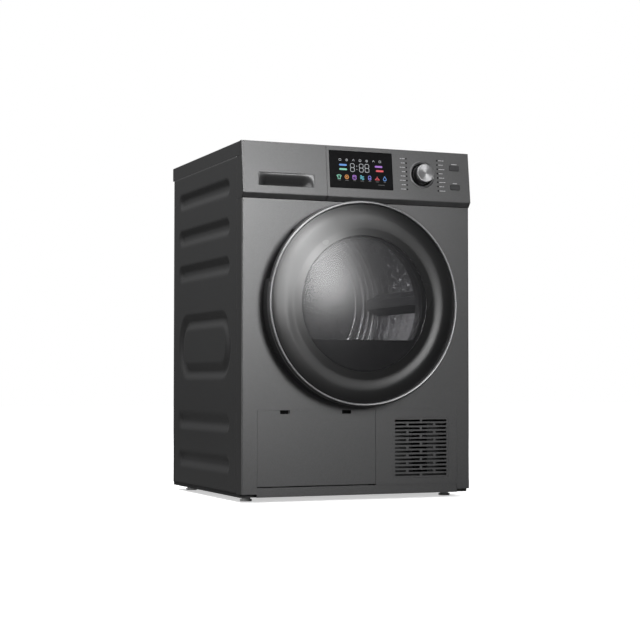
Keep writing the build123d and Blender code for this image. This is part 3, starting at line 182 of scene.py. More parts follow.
def see_through(name, tint, rough, ior=1.5, fall=0.0):
    """Thin smoked or clear sheet: a tinted view through it, with the sheet's own reflection added."""
    material, nodes, links, shader = shader_nodes(name)
    shader.inputs["Base Color"].default_value = (0.004, 0.004, 0.0045, 1)
    shader.inputs["IOR"].default_value = ior
    smear = pattern(nodes, links, "noise", 9.0, detail=1.0)
    links.new(spread(nodes, links, smear, rough * 0.95, rough * 1.05), shader.inputs["Roughness"])
    if fall:
        links.new(dome_normal(nodes, links, fall), shader.inputs["Normal"])
    through = nodes.new("ShaderNodeBsdfTransparent")
    veil = pattern(nodes, links, "noise", 6.0, detail=1.0)
    paler = tuple(min(channel * 1.06, 1.0) for channel in tint)
    links.new(two_tone(nodes, links, veil, tint, paler), through.inputs["Color"])
    both = nodes.new("ShaderNodeAddShader")
    links.new(shader.outputs["BSDF"], both.inputs[0])
    links.new(through.outputs["BSDF"], both.inputs[1])
    links.new(both.outputs["Shader"], nodes["Material Output"].inputs["Surface"])
    return material


def lamp_ink(name, colour, strength, vary=0.1):
    """Mark that gives off light, with a slight unevenness across it: a lit mark on the dark display, or
    printed console lettering whose glow is painted light.
    """
    material, nodes, links, shader = shader_nodes(name)
    shader.inputs["Base Color"].default_value = (0.01, 0.01, 0.01, 1)
    shader.inputs["Roughness"].default_value = 0.25
    mottle = pattern(nodes, links, "noise", 160.0)
    darker = tuple(channel * (1 - vary) for channel in colour)
    links.new(two_tone(nodes, links, mottle, darker, colour), shader.inputs["Emission Color"])
    shader.inputs["Emission Strength"].default_value = strength
    return material


def dome_normal(nodes, links, fall):
    """Normal of a shallow dome about the object's Y axis, which leans outward by this slope at its rim."""
    dome_radius = 0.23
    place = nodes.new("ShaderNodeTexCoord")
    flat = nodes.new("ShaderNodeMapping")
    flat.inputs["Scale"].default_value = (1.0, 0.0, 1.0)
    square = nodes.new("ShaderNodeVectorMath")
    square.operation = "DOT_PRODUCT"
    height = nodes.new("ShaderNodeMath")
    height.operation = "MULTIPLY"
    height.inputs[1].default_value = -fall / (2 * dome_radius)
    bump = nodes.new("ShaderNodeBump")
    bump.inputs["Strength"].default_value = 1.0
    bump.inputs["Distance"].default_value = 1.0
    links.new(place.outputs["Object"], flat.inputs["Vector"])
    links.new(flat.outputs["Vector"], square.inputs[0])
    links.new(flat.outputs["Vector"], square.inputs[1])
    links.new(square.outputs["Value"], height.inputs[0])
    links.new(height.outputs["Value"], bump.inputs["Height"])
    return bump.outputs["Normal"]


def backed_glass(name, colour, rough, coat_rough, fall):
    """Glass with dark moulding behind it: the moulding's sheen, under the glass's own domed gloss."""
    material, nodes, links, shader = shader_nodes(name)
    shader.inputs["Coat Weight"].default_value = 1.0
    shader.inputs["Coat IOR"].default_value = 1.5
    shader.inputs["IOR"].default_value = 1.36
    mottle = pattern(nodes, links, "noise", 30.0)
    darker = tuple(channel * 0.85 for channel in colour)
    links.new(two_tone(nodes, links, mottle, darker, colour), shader.inputs["Base Color"])
    smear = pattern(nodes, links, "noise", 9.0, detail=1.0)
    links.new(spread(nodes, links, smear, rough * 0.94, rough * 1.06), shader.inputs["Roughness"])
    links.new(
        spread(nodes, links, smear, coat_rough * 0.95, coat_rough * 1.05), shader.inputs["Coat Roughness"]
    )
    links.new(dome_normal(nodes, links, fall), shader.inputs["Coat Normal"])
    return material


DOOR_GLASS_FALL = 0.17
FINISHES = {
    "galvanised_steel": dict(
        colour=(0.42, 0.43, 0.44), rough=0.42, metallic=0.9, vary=0.05, grain=18.0,
        kind="cells", texture=120.0, depth=0.05,
    ),
    "felt": dict(colour=(0.55, 0.52, 0.46), rough=0.95, texture=2600.0, depth=0.3, sheen=0.4),
    "black_plastic": dict(colour=(0.018, 0.018, 0.019), rough=0.42, texture=1500.0, depth=0.05),
    "chrome_trim": dict(
        colour=(0.27, 0.27, 0.275), rough=0.4, metallic=1.0, vary=0.03,
        texture=200.0, depth=0.001, rough_vary=0.02,
    ),
    "brushed_metal": dict(
        colour=(0.62, 0.62, 0.63), rough=0.3, metallic=1.0, vary=0.05, grain=200.0, depth=0.01,
        anisotropy=0.8,
    ),
    "display_black": dict(
        colour=(0.004, 0.004, 0.0045), rough=0.12, texture=500.0, depth=0.003, rough_vary=0.02
    ),
    "lens_dark": dict(colour=(0.012, 0.012, 0.014), rough=0.25, depth=0.01),
    "button_black": dict(colour=(0.034, 0.034, 0.035), texture=1600.0, ior=1.3),
    "drum_steel": dict(
        colour=(0.4, 0.4, 0.405), rough=0.32, metallic=1.0, vary=0.08, grain=60.0,
        grain_stretch=(1, 14, 1), texture=500.0, texture_stretch=(1, 20, 1), depth=0.01,
    ),
    "grey_plastic": dict(colour=(0.2, 0.2, 0.205), rough=0.48, texture=1400.0, depth=0.05),
    "foot_plastic": dict(colour=(0.8, 0.8, 0.8), rough=0.55, texture=1300.0, depth=0.06),
    "rubber": dict(colour=(0.022, 0.022, 0.022), rough=0.75, texture=1800.0, depth=0.08),
    "steel_parts": dict(
        colour=(0.5, 0.5, 0.49), rough=0.36, metallic=1.0, vary=0.1, grain=90.0, texture=800.0
    ),
    "cast_black": dict(colour=(0.02, 0.02, 0.021), texture=600.0, depth=0.12),
    "copper": dict(colour=(0.7, 0.32, 0.17), rough=0.3, metallic=1.0, grain=50.0, texture=700.0),
    "aluminium_fins": dict(
        colour=(0.7, 0.71, 0.72), rough=0.35, metallic=1.0, vary=0.06, grain=80.0, texture=600.0
    ),
    "circuit_green": dict(colour=(0.012, 0.12, 0.05), rough=0.35, kind="cells", texture=160.0, depth=0.1),
}
MATERIALS = {name: finish(name, **look) for name, look in FINISHES.items()}
MATERIALS["painted_steel"] = metallic_paint("painted_steel", (0.100, 0.100, 0.101), rough=0.42)
MATERIALS["gloss_black"] = backed_glass(
    "gloss_black", (0.003, 0.003, 0.0033), rough=0.26, coat_rough=0.29, fall=DOOR_GLASS_FALL
)
MATERIALS["smoked_glass"] = see_through(
    "smoked_glass", (0.46, 0.46, 0.465), rough=0.29, fall=DOOR_GLASS_FALL
)
MATERIALS["clear_glass"] = see_through("clear_glass", (0.9, 0.9, 0.9), rough=0.05, ior=1.2)
MATERIALS["clear_plastic"] = see_through("clear_plastic", (0.72, 0.75, 0.78), rough=0.16)
LIFTER = finish("lifter_plastic", (0.035, 0.035, 0.036), 0.5, texture=1400.0, depth=0.05)
for node, item in NODES.items():
    item.data.materials.clear()
    item.data.materials.append(LIFTER if node == "drum_lifters" else MATERIALS[SLOT_OF[node]])


# ------------------------------------------------------------------------ mesh helpers
def piece(name, mesh, body, materials, replaces=(), sharp=40.0, place=None):
    """Object from a mesh: smooth but for its sharp edges, riding on a body, in the frame."""
    for polygon in mesh.polygons:
        polygon.use_smooth = True
    mesh.set_sharp_from_angle(angle=math.radians(sharp))
    item = bpy.data.objects.new(name, mesh)
    bpy.context.scene.collection.objects.link(item)
    if place is not None:
        item.matrix_world = place
    for material in materials:
        mesh.materials.append(material)
    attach(item, body)
    if replaces:
        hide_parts(*replaces)
    return item


def grid(name, columns, rows, point, wrap=False):
    """Sheet of quads: point(column, row) gives each corner. Wrapped sheets close on themselves."""
    mesh = bpy.data.meshes.new(name)
    build = bmesh.new()
    corners = [[build.verts.new(point(u, v)) for v in rows] for u in columns]
    count = len(corners)
    for i in range(count if wrap else count - 1):
        near, far = corners[i], corners[(i + 1) % count]
        for j in range(len(rows) - 1):
            build.faces.new((near[j], far[j], far[j + 1], near[j + 1]))
    bmesh.ops.recalc_face_normals(build, faces=build.faces)
    build.to_mesh(mesh)
    build.free()
    return mesh


def lathe(name, outline, steps=192, closed=True, turn=(0.0, 360.0)):
    """Outline of (radius, y) turned about the Y axis through the door's or drum's own centre."""
    whole = turn[1] - turn[0] >= 360.0
    count = steps if whole else steps + 1
    angles = [math.radians(turn[0] + (turn[1] - turn[0]) * i / steps) for i in range(count)]
    loop = list(outline) + ([outline[0]] if closed else [])
    mesh = bpy.data.meshes.new(name)
    build = bmesh.new()
    rings = [
        [build.verts.new((r * math.cos(a), y, r * math.sin(a))) for r, y in outline] for a in angles
    ]
    for i in range(count if whole else count - 1):
        near, far = rings[i], rings[(i + 1) % count]
        for j in range(len(loop) - 1):
            k = (j + 1) % len(outline)
            build.faces.new((near[j], far[j], far[k], near[k]))
    if not whole and closed:
        build.faces.new(rings[0])
        build.faces.new(rings[-1])
    bmesh.ops.remove_doubles(build, verts=build.verts, dist=1e-7)
    bmesh.ops.recalc_face_normals(build, faces=build.faces)
    build.to_mesh(mesh)
    build.free()
    return mesh


def sheet(item, thickness, offset=-1.0):
    """Thickness for a piece whose mesh is a single skin."""
    solid = item.modifiers.new("sheet", "SOLIDIFY")
    solid.thickness = thickness
    solid.offset = offset


def smooth_step(value):
    """Smooth rise from 0 to 1."""
    value = min(max(value, 0.0), 1.0)
    return value * value * (3 - 2 * value)


# -------------------------------------------------------------------------- side panels
TROUGH_HEIGHTS = (0.750, 0.655, 0.562, 0.184, 0.086)
TROUGH_FRONT, TROUGH_REAR = behind(84), behind(490)
TROUGH_HALF, TROUGH_FLANK, PRESS_DEPTH = 24 * MM, 21 * MM, 8 * MM
BARREL_Z, BARREL_HALF, BARREL_GROOVE = 0.372, 84 * MM, 42 * MM
BARREL_FRONT, BARREL_REAR, BARREL_BULGE = behind(124), behind(436), 50 * MM
BARREL_FLANK = BARREL_GROOVE * 0.46
FOLD, BEND, SIDE_SHEET = 12 * MM, 2.2 * MM, 1.2 * MM


def trough_depth(y, z, height):
    """Depth of a round-ended trough, at a place on the panel."""
    ends = (TROUGH_FRONT + TROUGH_HALF, TROUGH_REAR - TROUGH_HALF)
    along = max(ends[0] - y, 0.0, y - ends[1])
    inside = TROUGH_HALF - math.hypot(along, z - height)
    return PRESS_DEPTH * smooth_step(inside / TROUGH_FLANK)


def soft_least(values, blend=12 * MM):
    """Least of several distances, rounded where two of them meet."""
    least = values[0]
    for value in values[1:]:
        mix = max(blend - abs(least - value), 0.0) / blend
        least = min(least, value) - mix * mix * blend / 4
    return least


def barrel_depth(y, z):
    """Depth of the pressed ring: straight above and below, bowed at the front and the rear."""
    rise = z - BARREL_Z
    radius = (BARREL_HALF**2 + BARREL_BULGE**2) / (2 * BARREL_BULGE)
    front_centre = BARREL_FRONT - BARREL_BULGE + radius
    rear_centre = BARREL_REAR + BARREL_BULGE - radius
    inside = [BARREL_HALF - abs(rise)]
    if y < front_centre:
        inside.append(radius - math.hypot(y - front_centre, rise))
    if y > rear_centre:
        inside.append(radius - math.hypot(y - rear_centre, rise))
    into = soft_least(inside)
    if into <= 0 or into >= BARREL_GROOVE:
        return 0.0
    return PRESS_DEPTH * smooth_step(min(into, BARREL_GROOVE - into) / BARREL_FLANK)


def pressed(y, z):
    """Depth of the pressing at a place on the panel."""
    return max([barrel_depth(y, z)] + [trough_depth(y, z, height) for height in TROUGH_HEIGHTS])


def side_stations():
    """Run across a side panel: front fold, flat, rear fold, as (y, inset)."""
    arc = [math.radians(90 * i / 5) for i in range(6)]
    front = [(SIDE_LOW.y, FOLD)] + [
        (SIDE_LOW.y + BEND * (1 - math.sin(a)), BEND * (1 - math.cos(a))) for a in reversed(arc)
    ]
    start, end = SIDE_LOW.y + BEND, SIDE_HIGH.y - BEND
    flat = [(start + (end - start) * i / 128, 0.0) for i in range(1, 128)]
    rear = [(end + BEND * math.sin(a), BEND * (1 - math.cos(a))) for a in arc] + [(SIDE_HIGH.y, FOLD)]
    return front + flat + rear


def side_panel(side, node):
    """Pressed side panel, its sheet laid on the side that faces into the machine."""
    stations = side_stations()
    rows = [SIDE_LOW.z + (SIDE_HIGH.z - SIDE_LOW.z) * j / 200 for j in range(201)]

    def point(column, z):
        y, inset = stations[column]
        depth = pressed(y, z) if inset < 1e-6 else inset
        return (side * (HALF_WIDTH - depth), y, z)

    mesh = grid(node + "_skin", range(len(stations)), rows, point)
    item = piece(
        node + "_skin", mesh, "cabinet", [MATERIALS["painted_steel"]], [node], 60.0
    )
    outward = item.data.polygons[len(item.data.polygons) // 2].normal.x * side > 0
    sheet(item, SIDE_SHEET, -1.0 if outward else 1.0)


side_panel(-1, "left_side_panel")
side_panel(1, "right_side_panel")

# --------------------------------------------------------------------------------- door
DOOR_PLACE = Matrix.Translation((DOOR_X, FRONT_Y, DOOR_Z))
RING_OUTER = (RING_HIGH.x - RING_LOW.x) / 2
RING_FRONT, RING_BACK = FRONT_Y - RING_LOW.y, FRONT_Y - RING_HIGH.y
RING_INNER = RING_OUTER - 6 * MM
ANNULUS_OUTER = RING_INNER - 0.4 * MM
GLASS_RADIUS = (GLASS_HIGH.x - GLASS_LOW.x) / 2


def ring_outline():
    """Rounded front, flat back, of the bright ring."""
    middle, half = (RING_OUTER + RING_INNER) / 2, (RING_OUTER - RING_INNER) / 2
    rise = RING_FRONT - RING_BACK
    crown = [
        (middle + half * math.cos(a), -(RING_BACK + rise * (0.35 + 0.65 * math.sin(a))))
        for a in (math.pi * i / 10 for i in range(11))
    ]
    return [(RING_OUTER, -RING_BACK + 0.1 * MM)] + crown + [(RING_INNER, -RING_BACK + 0.1 * MM)]


piece(
    "door_bright_ring", lathe("door_bright_ring", ring_outline(), 256), "door",
    [MATERIALS["chrome_trim"]], ["door_chrome_ring"], 50.0, DOOR_PLACE,
)


def dish(radius, ridge=1.0):
    """How far the outer glass stands ahead of the panel: a ridge, a valley inside it, a shallow dome."""
    crest, crest_at, valley_at = 43.6 * MM, 209 * MM, 181 * MM
    rim_drop, ridge_drop, dome = 2.6 * MM, 3.0 * MM, 5.0 * MM
    if radius > crest_at:
        share = (radius - crest_at) / (ANNULUS_OUTER - crest_at)
        return crest - (ridge_drop * (1 - ridge)) - rim_drop * share * share
    if radius > valley_at:
        share = (crest_at - radius) / (crest_at - valley_at)
        return crest - ridge_drop * (1 - ridge + ridge * smooth_step(share))
    share = radius / valley_at
    return crest - ridge_drop + dome * (1 - share * share)


def annulus_mesh():
    """Dark annulus of the outer glass. Its ridge is full at the lower right, faint at the upper left."""
    outer, inner, count, wall = ANNULUS_OUTER, GLASS_RADIUS + 0.2 * MM, 48, 3 * MM
    faint_turn, faint_half, fade, faintest = 130, 20, 50, 0.12
    front = [outer + (inner - outer) * i / count for i in range(count + 1)]
    loop = [(r, 0.0) for r in front] + [(r, wall) for r in reversed(front)]

    def point(turn, index):
        radius, back = loop[index % len(loop)]
        away = abs((turn - faint_turn + 180) % 360 - 180)
        ridge = faintest + (1 - faintest) * smooth_step((away - faint_half) / fade)
        a = math.radians(turn)
        return (radius * math.cos(a), back - dish(radius, ridge), radius * math.sin(a))

    turns = [360 * i / 256 for i in range(256)]
    mesh = grid("door_dark_annulus", turns, range(len(loop) + 1), point, wrap=True)
    build = bmesh.new()
    build.from_mesh(mesh)
    bmesh.ops.remove_doubles(build, verts=build.verts, dist=1e-6)
    bmesh.ops.recalc_face_normals(build, faces=build.faces)
    build.to_mesh(mesh)
    build.free()
    return mesh


piece(
    "door_dark_annulus", annulus_mesh(), "door", [MATERIALS["gloss_black"]],
    ["door_trim_ring"], 35.0, DOOR_PLACE,
)

# Satin band round the front corner of the rim, broken at the grip and at the hinge.
RIM_LOW, RIM_HIGH, _ = span("door_frame")
BAND_RADIUS = (RIM_HIGH.x - RIM_LOW.x) / 2
BAND_FRONT = RIM_LOW.y - FRONT_Y
BAND_STRETCHES = (("low", (169.0, 346.0)), ("high", (14.0, 132.0)))


def band_outline():
    """Thin section with rounded edges, wrapped on the rim. (radius, y) in metres."""
    reach, front, back = 0.35 * MM, BAND_FRONT + 1.2 * MM, BAND_FRONT + 9.5 * MM
    inside = BAND_RADIUS - 0.3 * MM
    return [
        (inside, front),
        (BAND_RADIUS + reach * 0.6, front + 0.2 * MM),
        (BAND_RADIUS + reach, front + 0.9 * MM),
        (BAND_RADIUS + reach, back - 0.9 * MM),
        (BAND_RADIUS + reach * 0.6, back - 0.2 * MM),
        (inside, back),
    ]


BAND = finish(
    "rim_band_satin", (0.16, 0.16, 0.162), rough=0.4, metallic=0.8, vary=0.05, grain=60.0, depth=0.004
)
for place, turn in BAND_STRETCHES:
    piece(
        f"door_rim_band_{place}", lathe(f"door_rim_band_{place}", band_outline(), 160, turn=turn), "door",
        [BAND], (), 50.0, DOOR_PLACE,
    )


def window_outline():
    """Domed window, from its rounded edge to the middle and back. (radius, y) in metres."""
    count, wall, edge = 40, 3.5 * MM, 1.0 * MM
    top = GLASS_RADIUS - edge
    corner = [
        (top + edge * math.cos(a), -dish(top) + edge * (1 - math.sin(a)))
        for a in (math.pi / 2 * i / 4 for i in range(4))
    ]
    front = [(top * (1 - i / count), -dish(top * (1 - i / count))) for i in range(count + 1)]
    back = [(top * i / count, -dish(top * i / count) + wall) for i in range(count + 1)]
    return corner + front + back


piece(
    "door_smoked_window", lathe("door_smoked_window", window_outline(), 256), "door",
    [MATERIALS["smoked_glass"]], ["door_window"], 35.0, DOOR_PLACE,
)

# ------------------------------------------------------------------- console and drawer
CONSOLE_LOW, CONSOLE_HIGH, _ = span("control_console")
DRAWER_LOW, DRAWER_HIGH, _ = span("drawer_front")
KNOB_X = span("knob_bezel")[2].x / MM
SCREEN_X = span("display_glass")[2].x / MM
UNDERCUT_HEIGHT = 12.7 * MM
UNDERCUT_TOP = PANEL_HIGH.z + UNDERCUT_HEIGHT
FACE_SETBACK, FACE_HEIGHT = 13.5, 123.3
LEAN = math.atan2(FACE_SETBACK, FACE_HEIGHT)
FACE_UP = Vector((0.0, math.sin(LEAN), math.cos(LEAN)))
FACE_OUT = Vector((0.0, -math.cos(LEAN), math.sin(LEAN)))
FACE_FOOT = Vector((0.0, CONSOLE_LOW.y, UNDERCUT_TOP))
KNOB_UP = 64.0


def face_place(x, up, out=0.0, turned=False):
    """Frame on the leaning face, millimetres: Z out of the face, or -Y out of it when turned."""
    spot = FACE_FOOT + Vector((x * MM, 0, 0)) + FACE_UP * (up * MM) + FACE_OUT * (out * MM)
    second, third = (-FACE_OUT, FACE_UP) if turned else (FACE_UP, FACE_OUT)
    turn = Matrix((Vector((1, 0, 0)), second, third)).transposed()
    return Matrix.Translation(spot) @ turn.to_4x4()


def rounded(width, height, corner, steps=5, middle=(0.0, 0.0)):
    """Rounded rectangle as a list of points, anticlockwise."""
    points = []
    for cx, cy, start in ((1, 1, 0), (-1, 1, 90), (-1, -1, 180), (1, -1, 270)):
        for i in range(steps + 1):
            a = math.radians(start + 90 * i / steps)
            points.append((
                middle[0] + cx * (width / 2 - corner) + corner * math.cos(a),
                middle[1] + cy * (height / 2 - corner) + corner * math.sin(a),
            ))
    return points


def ring_points(radius, middle=(0.0, 0.0), count=16):
    """Circle as a list of points."""
    turns = (2 * math.pi * i / count for i in range(count))
    return [(middle[0] + radius * math.cos(a), middle[1] + radius * math.sin(a)) for a in turns]


def marks(name, fills=(), strokes=(), width=0.9, rise=0.12):
    """Printed marks, millimetres: filled outlines, and (points, closed) lines of one width."""
    build = bmesh.new()
    for outline in fills:
        build.faces.new([build.verts.new((x * MM, y * MM, 0)) for x, y in outline])
    for points, closed in strokes:
        spots, count = [Vector(point) for point in points], len(points)
        pairs = []
        for i, spot in enumerate(spots):
            before = spots[i - 1] if closed or i else spot
            after = spots[(i + 1) % count] if closed or i < count - 1 else spot
            first = (spot - before).normalized() if (spot - before).length else None
            second = (after - spot).normalized() if (after - spot).length else None
            along = ((first or second) + (second or first)).normalized()
            normal = Vector((-along.y, along.x))
            reach = width / 2 / max(abs(along.dot(second or first)), 0.5)
            pairs.append([
                build.verts.new(((spot + normal * side * reach) * MM).to_3d()) for side in (1, -1)
            ])
        for i in range(count if closed else count - 1):
            near, far = pairs[i], pairs[(i + 1) % count]
            build.faces.new((near[0], near[1], far[1], far[0]))
    bmesh.ops.recalc_face_normals(build, faces=build.faces)
    for face in build.faces:
        if face.normal.z < 0:
            face.normal_flip()
    raised = bmesh.ops.extrude_face_region(build, geom=list(build.faces))["geom"]
    tops = [item for item in raised if isinstance(item, bmesh.types.BMVert)]
    bmesh.ops.translate(build, verts=tops, vec=(0, 0, rise * MM))
    bmesh.ops.recalc_face_normals(build, faces=build.faces)
    mesh = bpy.data.meshes.new(name)
    build.to_mesh(mesh)
    build.free()
    return mesh


# Near-black sheet on the undersides of the console and the drawer: painted shade.
UNDERCUT_SHADE = finish("undercut_painted_shade", (0.04, 0.04, 0.041), texture=1500.0, depth=0.04)


def undercut_strip(name, body, left, right):
    """Dark strip under the leaning face, from its lower edge back to the front panel: painted shade, where
    the underside is in shadow.
    """
    top, foot = (CONSOLE_LOW.y, UNDERCUT_TOP), (FRONT_Y, CONSOLE_LOW.z)
    skin, inset = 0.25 * MM, 0.6 * MM

    def point(x, share):
        y = top[0] + (foot[0] - top[0]) * share
        z = top[1] + (foot[1] - top[1]) * share
        return (x, y - skin, z - skin)

    rows = [0.02 + 0.96 * i / 6 for i in range(7)]
    columns = [left + inset + (right - left - 2 * inset) * i / 24 for i in range(25)]
    mesh = grid(name, columns, rows, point)
    item = piece(name, mesh, body, [UNDERCUT_SHADE], place=Matrix.Identity(4))
    sheet(item, 0.15 * MM)


undercut_strip("console_undercut", "cabinet", CONSOLE_LOW.x, CONSOLE_HIGH.x)
undercut_strip("drawer_undercut", "tank_drawer", DRAWER_LOW.x, DRAWER_HIGH.x)

# Finger recess of the drawer: shallow under its top edge, deep at its foot, scooped at both ends.
HANDLE_LEFT, HANDLE_WIDTH, HANDLE_FOOT, HANDLE_HEIGHT = -260.8, 144.0, 17.5, 32.5


def handle_liner():
    """Skin of the finger recess: deepest at its foot, shallow at its top and at both ends."""
    left_scoop, right_scoop, deepest, shallow, least = 26.0, 30.0, 21.5, 3.0, 0.8

    def point(u, v):
        from_left, from_right = u * HANDLE_WIDTH, (1 - u) * HANDLE_WIDTH
        fall = 1 - smooth_step((v - 0.04) / 0.92)
        middle = shallow + (deepest - shallow) * fall
        ends = smooth_step(from_left / left_scoop) * smooth_step(from_right / right_scoop)
        depth = least + (middle - least) * ends
        inset = 0.15
        x = inset + (HANDLE_WIDTH - 2 * inset) * u
        y = inset + (HANDLE_HEIGHT - 2 * inset) * v
        return (x * MM, y * MM, -depth * MM)

    columns = [i / 96 for i in range(97)]
    rows = [j / 40 for j in range(41)]
    mesh = grid("drawer_handle_scoop", columns, rows, point)
    item = piece(
        "drawer_handle_scoop", mesh, "tank_drawer", [MATERIALS["painted_steel"]],
        sharp=70.0, place=face_place(HANDLE_LEFT, HANDLE_FOOT),
    )
    sheet(item, 0.8 * MM)


handle_liner()

# Display: clock digits, a row of small signs, coloured programme signs, captions and pills.
# The heights are up the leaning face, in millimetres.
CLOCK_UP, SIGNS_UP, CAPTIONS_UP, SMALL_SIGNS_UP = 72.3, 48.6, 40.2, 90.5
UPPER_PILLS_UP, LOWER_PILLS_UP = 77.8, 67.2
FIRST_SIGN, SIGN_PITCH = -59.0, 20.1
FIRST_SMALL_SIGN, SMALL_SIGN_PITCH = -55.0, 17.6
INKS = {
    "white": lamp_ink("ink_white", (0.75, 0.78, 0.82), 0.75),
    "mint": lamp_ink("ink_mint", (0.28, 0.75, 0.55), 0.8),
    "orange": lamp_ink("ink_orange", (0.95, 0.38, 0.08), 0.8),
    "violet": lamp_ink("ink_violet", (0.5, 0.22, 0.8), 0.8),
    "aqua": lamp_ink("ink_aqua", (0.15, 0.62, 0.75), 0.8),
    "indigo": lamp_ink("ink_indigo", (0.26, 0.26, 0.85), 0.8),
    "red": lamp_ink("ink_red", (0.9, 0.12, 0.14), 0.8),
    "blue": lamp_ink("ink_blue", (0.15, 0.38, 0.9), 0.8),
    "grey": lamp_ink("ink_grey", (0.5, 0.5, 0.51), 0.3),
    # Printed console lettering, made to glow: painted light.
    "pale": lamp_ink("ink_pale_painted_glow", (0.85, 0.85, 0.86), 0.55),
}


def ink(name, colour, x, up, out=0.04, **shapes):
    """Printed or lit marks on the leaning face."""
    piece(name, marks(name, **shapes), "cabinet", [INKS[colour]], sharp=30.0,
          place=face_place(x, up, out))


def clock():
    """Three digits, all strokes lit, and the two dots of the colon."""
    width, height, corner = 10.5, 20.0, 3.6
    strokes = []
    for middle in (-19.0, 4.5, 19.5):
        for half in (1, -1):
            strokes.append((
                rounded(width, height / 2, corner, middle=(middle, half * height / 4)), True
            ))
    dots = [ring_points(1.0, (-7.2, side * 4.2)) for side in (1, -1)]
    ink("display_clock", "white", 1.6, CLOCK_UP, fills=dots, strokes=strokes, width=1.0)


def signs():
    """Seven coloured signs, each with a short caption bar, and a longer bar at the lower right."""
    shirt = [(-2, 4.5), (-5.5, 2.5), (-4.2, 0), (-3, 0.8), (-3, -5), (3, -5), (3, 0.8), (4.2, 0),
             (5.5, 2.5), (2, 4.5), (0.8, 3.2), (-0.8, 3.2)]
    drop = [(0, 5.5), (2.2, 2), (3.8, -1), (3.2, -3.8), (0, -5.2), (-3.2, -3.8), (-3.8, -1), (-2.2, 2)]
    hanger = [(-5.5, -3.5), (0, 1.5), (5.5, -3.5)]
    wave = [(-5, 0), (-2.5, 2), (0, 0), (2.5, -2), (5, 0)]
    towel = rounded(8.5, 9.5, 1.6)
    tall = rounded(6.5, 10.0, 2.6)
    looks = (
        ("mint", [(shirt, True)], []),
        ("orange", [(ring_points(4.6), True)], [ring_points(1.8)]),
        ("violet", [(towel, True), ([(-4, 1.2), (4, 1.2)], False)], []),
        ("aqua", [([(x, y + lift) for x, y in wave], False) for lift in (-3.4, 0, 3.4)], []),
        ("indigo", [(tall, True), ([(-3, -1.5), (3, -1.5)], False)], []),
        ("red", [(hanger + [(-5.5, -3.5)], False), ([(0, 1.5), (0, 4.5)], False)], []),
        ("blue", [(drop, True)], []),
    )
    for number, (colour, strokes, fills) in enumerate(looks):
        x = SCREEN_X + FIRST_SIGN + SIGN_PITCH * number
        ink(f"display_sign_{number + 1}", colour, x, SIGNS_UP, strokes=strokes, fills=fills, width=1.5)
    captions = []
    for number, reach in enumerate((7.5, 9.0, 6.5, 9.5, 7.0, 8.5, 6.0)):
        middle = FIRST_SIGN + SIGN_PITCH * number
        captions.append(rounded(reach, 1.1, 0.4, 2, (middle, 0)))
    captions.append(rounded(17.0, 0.9, 0.3, 2, (52.0, -7.6)))
    ink("display_captions", "grey", SCREEN_X, CAPTIONS_UP, fills=captions)


def small_signs():
    """Seven small signs of three kinds in a row, and four coloured pills."""
    strokes, fills = [], []
    for number in range(7):
        middle = FIRST_SMALL_SIGN + SMALL_SIGN_PITCH * number
        if number % 3 == 0:
            strokes.append((rounded(5.2, 4.6, 1.2, middle=(middle, 0)), True))
        elif number % 3 == 1:
            strokes.append((ring_points(2.5, (middle, 0)), True))
            fills.append(ring_points(0.8, (middle, 0), 8))
        else:
            strokes.append(([(middle - 2.8, -1.6), (middle, 2.2), (middle + 2.8, -1.6)], False))
    ink(
        "display_small_signs", "white", SCREEN_X, SMALL_SIGNS_UP, strokes=strokes, fills=fills, width=0.8
    )
    for name, colour, x, up in (
        ("upper_left", "blue", -47.6, UPPER_PILLS_UP), ("lower_left", "mint", -47.6, LOWER_PILLS_UP),
        ("upper_right", "violet", 46.5, UPPER_PILLS_UP), ("lower_right", "red", 49.0, LOWER_PILLS_UP),
    ):
        ink(f"display_pill_{name}", colour, SCREEN_X + x, up, fills=[rounded(20.0, 4.4, 2.1)])


# Indicators: a column of eight on each side of the knob. The buttons are to the right of them.
SURROUND = finish("surround_black", (0.004, 0.004, 0.0045), 0.6, texture=1400.0, depth=0.01, ior=1.15)
INDICATOR_COLUMNS = ((127.0, -1), (211.5, 1))
INDICATOR_ROWS, INDICATOR_PITCH = 8, 10.9
LINE_LENGTHS = (13, 10.5, 14, 9, 12.5, 15, 11, 13.5)
BUTTON_X, BUTTON_LINES = 258.5, ((94.5, 15.0), (46.2, 12.0))


def indicator_rise(row):
    """Height of a row of indicators above the knob's centre."""
    return ((INDICATOR_ROWS - 1) / 2 - row) * INDICATOR_PITCH


def label_bars():
    """A printed line of two bars beside every indicator, and one bar over each button. The print glows:
    painted light.
    """
    fills = []
    for row, length in enumerate(LINE_LENGTHS):
        for column, side in INDICATOR_COLUMNS:
            reach = length * (1.0 if side < 0 else 1.15)
            first, second = reach * 0.58, reach * 0.34
            for begin, run in ((3.6, first), (3.6 + first + reach * 0.08, second)):
                middle = column - KNOB_X + side * (begin + run / 2)
                fills.append(rounded(run, 1.5, 0.5, 2, (middle, indicator_rise(row))))
    for up, reach in BUTTON_LINES:
        fills.append(rounded(reach, 1.5, 0.5, 2, (BUTTON_X - KNOB_X, up - KNOB_UP)))
    ink("console_label_bars", "pale", KNOB_X, KNOB_UP, out=0.06, fills=fills)


def dot_surrounds():
    """Black disc round every indicator."""
    discs = []
    for row in range(INDICATOR_ROWS):
        for column, _ in INDICATOR_COLUMNS:
            discs.append(ring_points(2.2, (column - KNOB_X, indicator_rise(row))))
    piece(
        "console_dot_surrounds", marks("console_dot_surrounds", fills=discs), "cabinet", [SURROUND],
        sharp=30.0, place=face_place(KNOB_X, KNOB_UP, 0.05),
    )


clock()
signs()
small_signs()
label_bars()
dot_surrounds()

KNOB_PLACE = face_place(KNOB_X, KNOB_UP, turned=True)


def arc_points(middle, reach, degrees):
    """Arc of (radius, y) points that bulges towards -Y."""
    turns = [math.radians(degree) for degree in degrees]
    return [(middle[0] + reach[0] * math.cos(a), middle[1] - reach[1] * math.sin(a)) for a in turns]


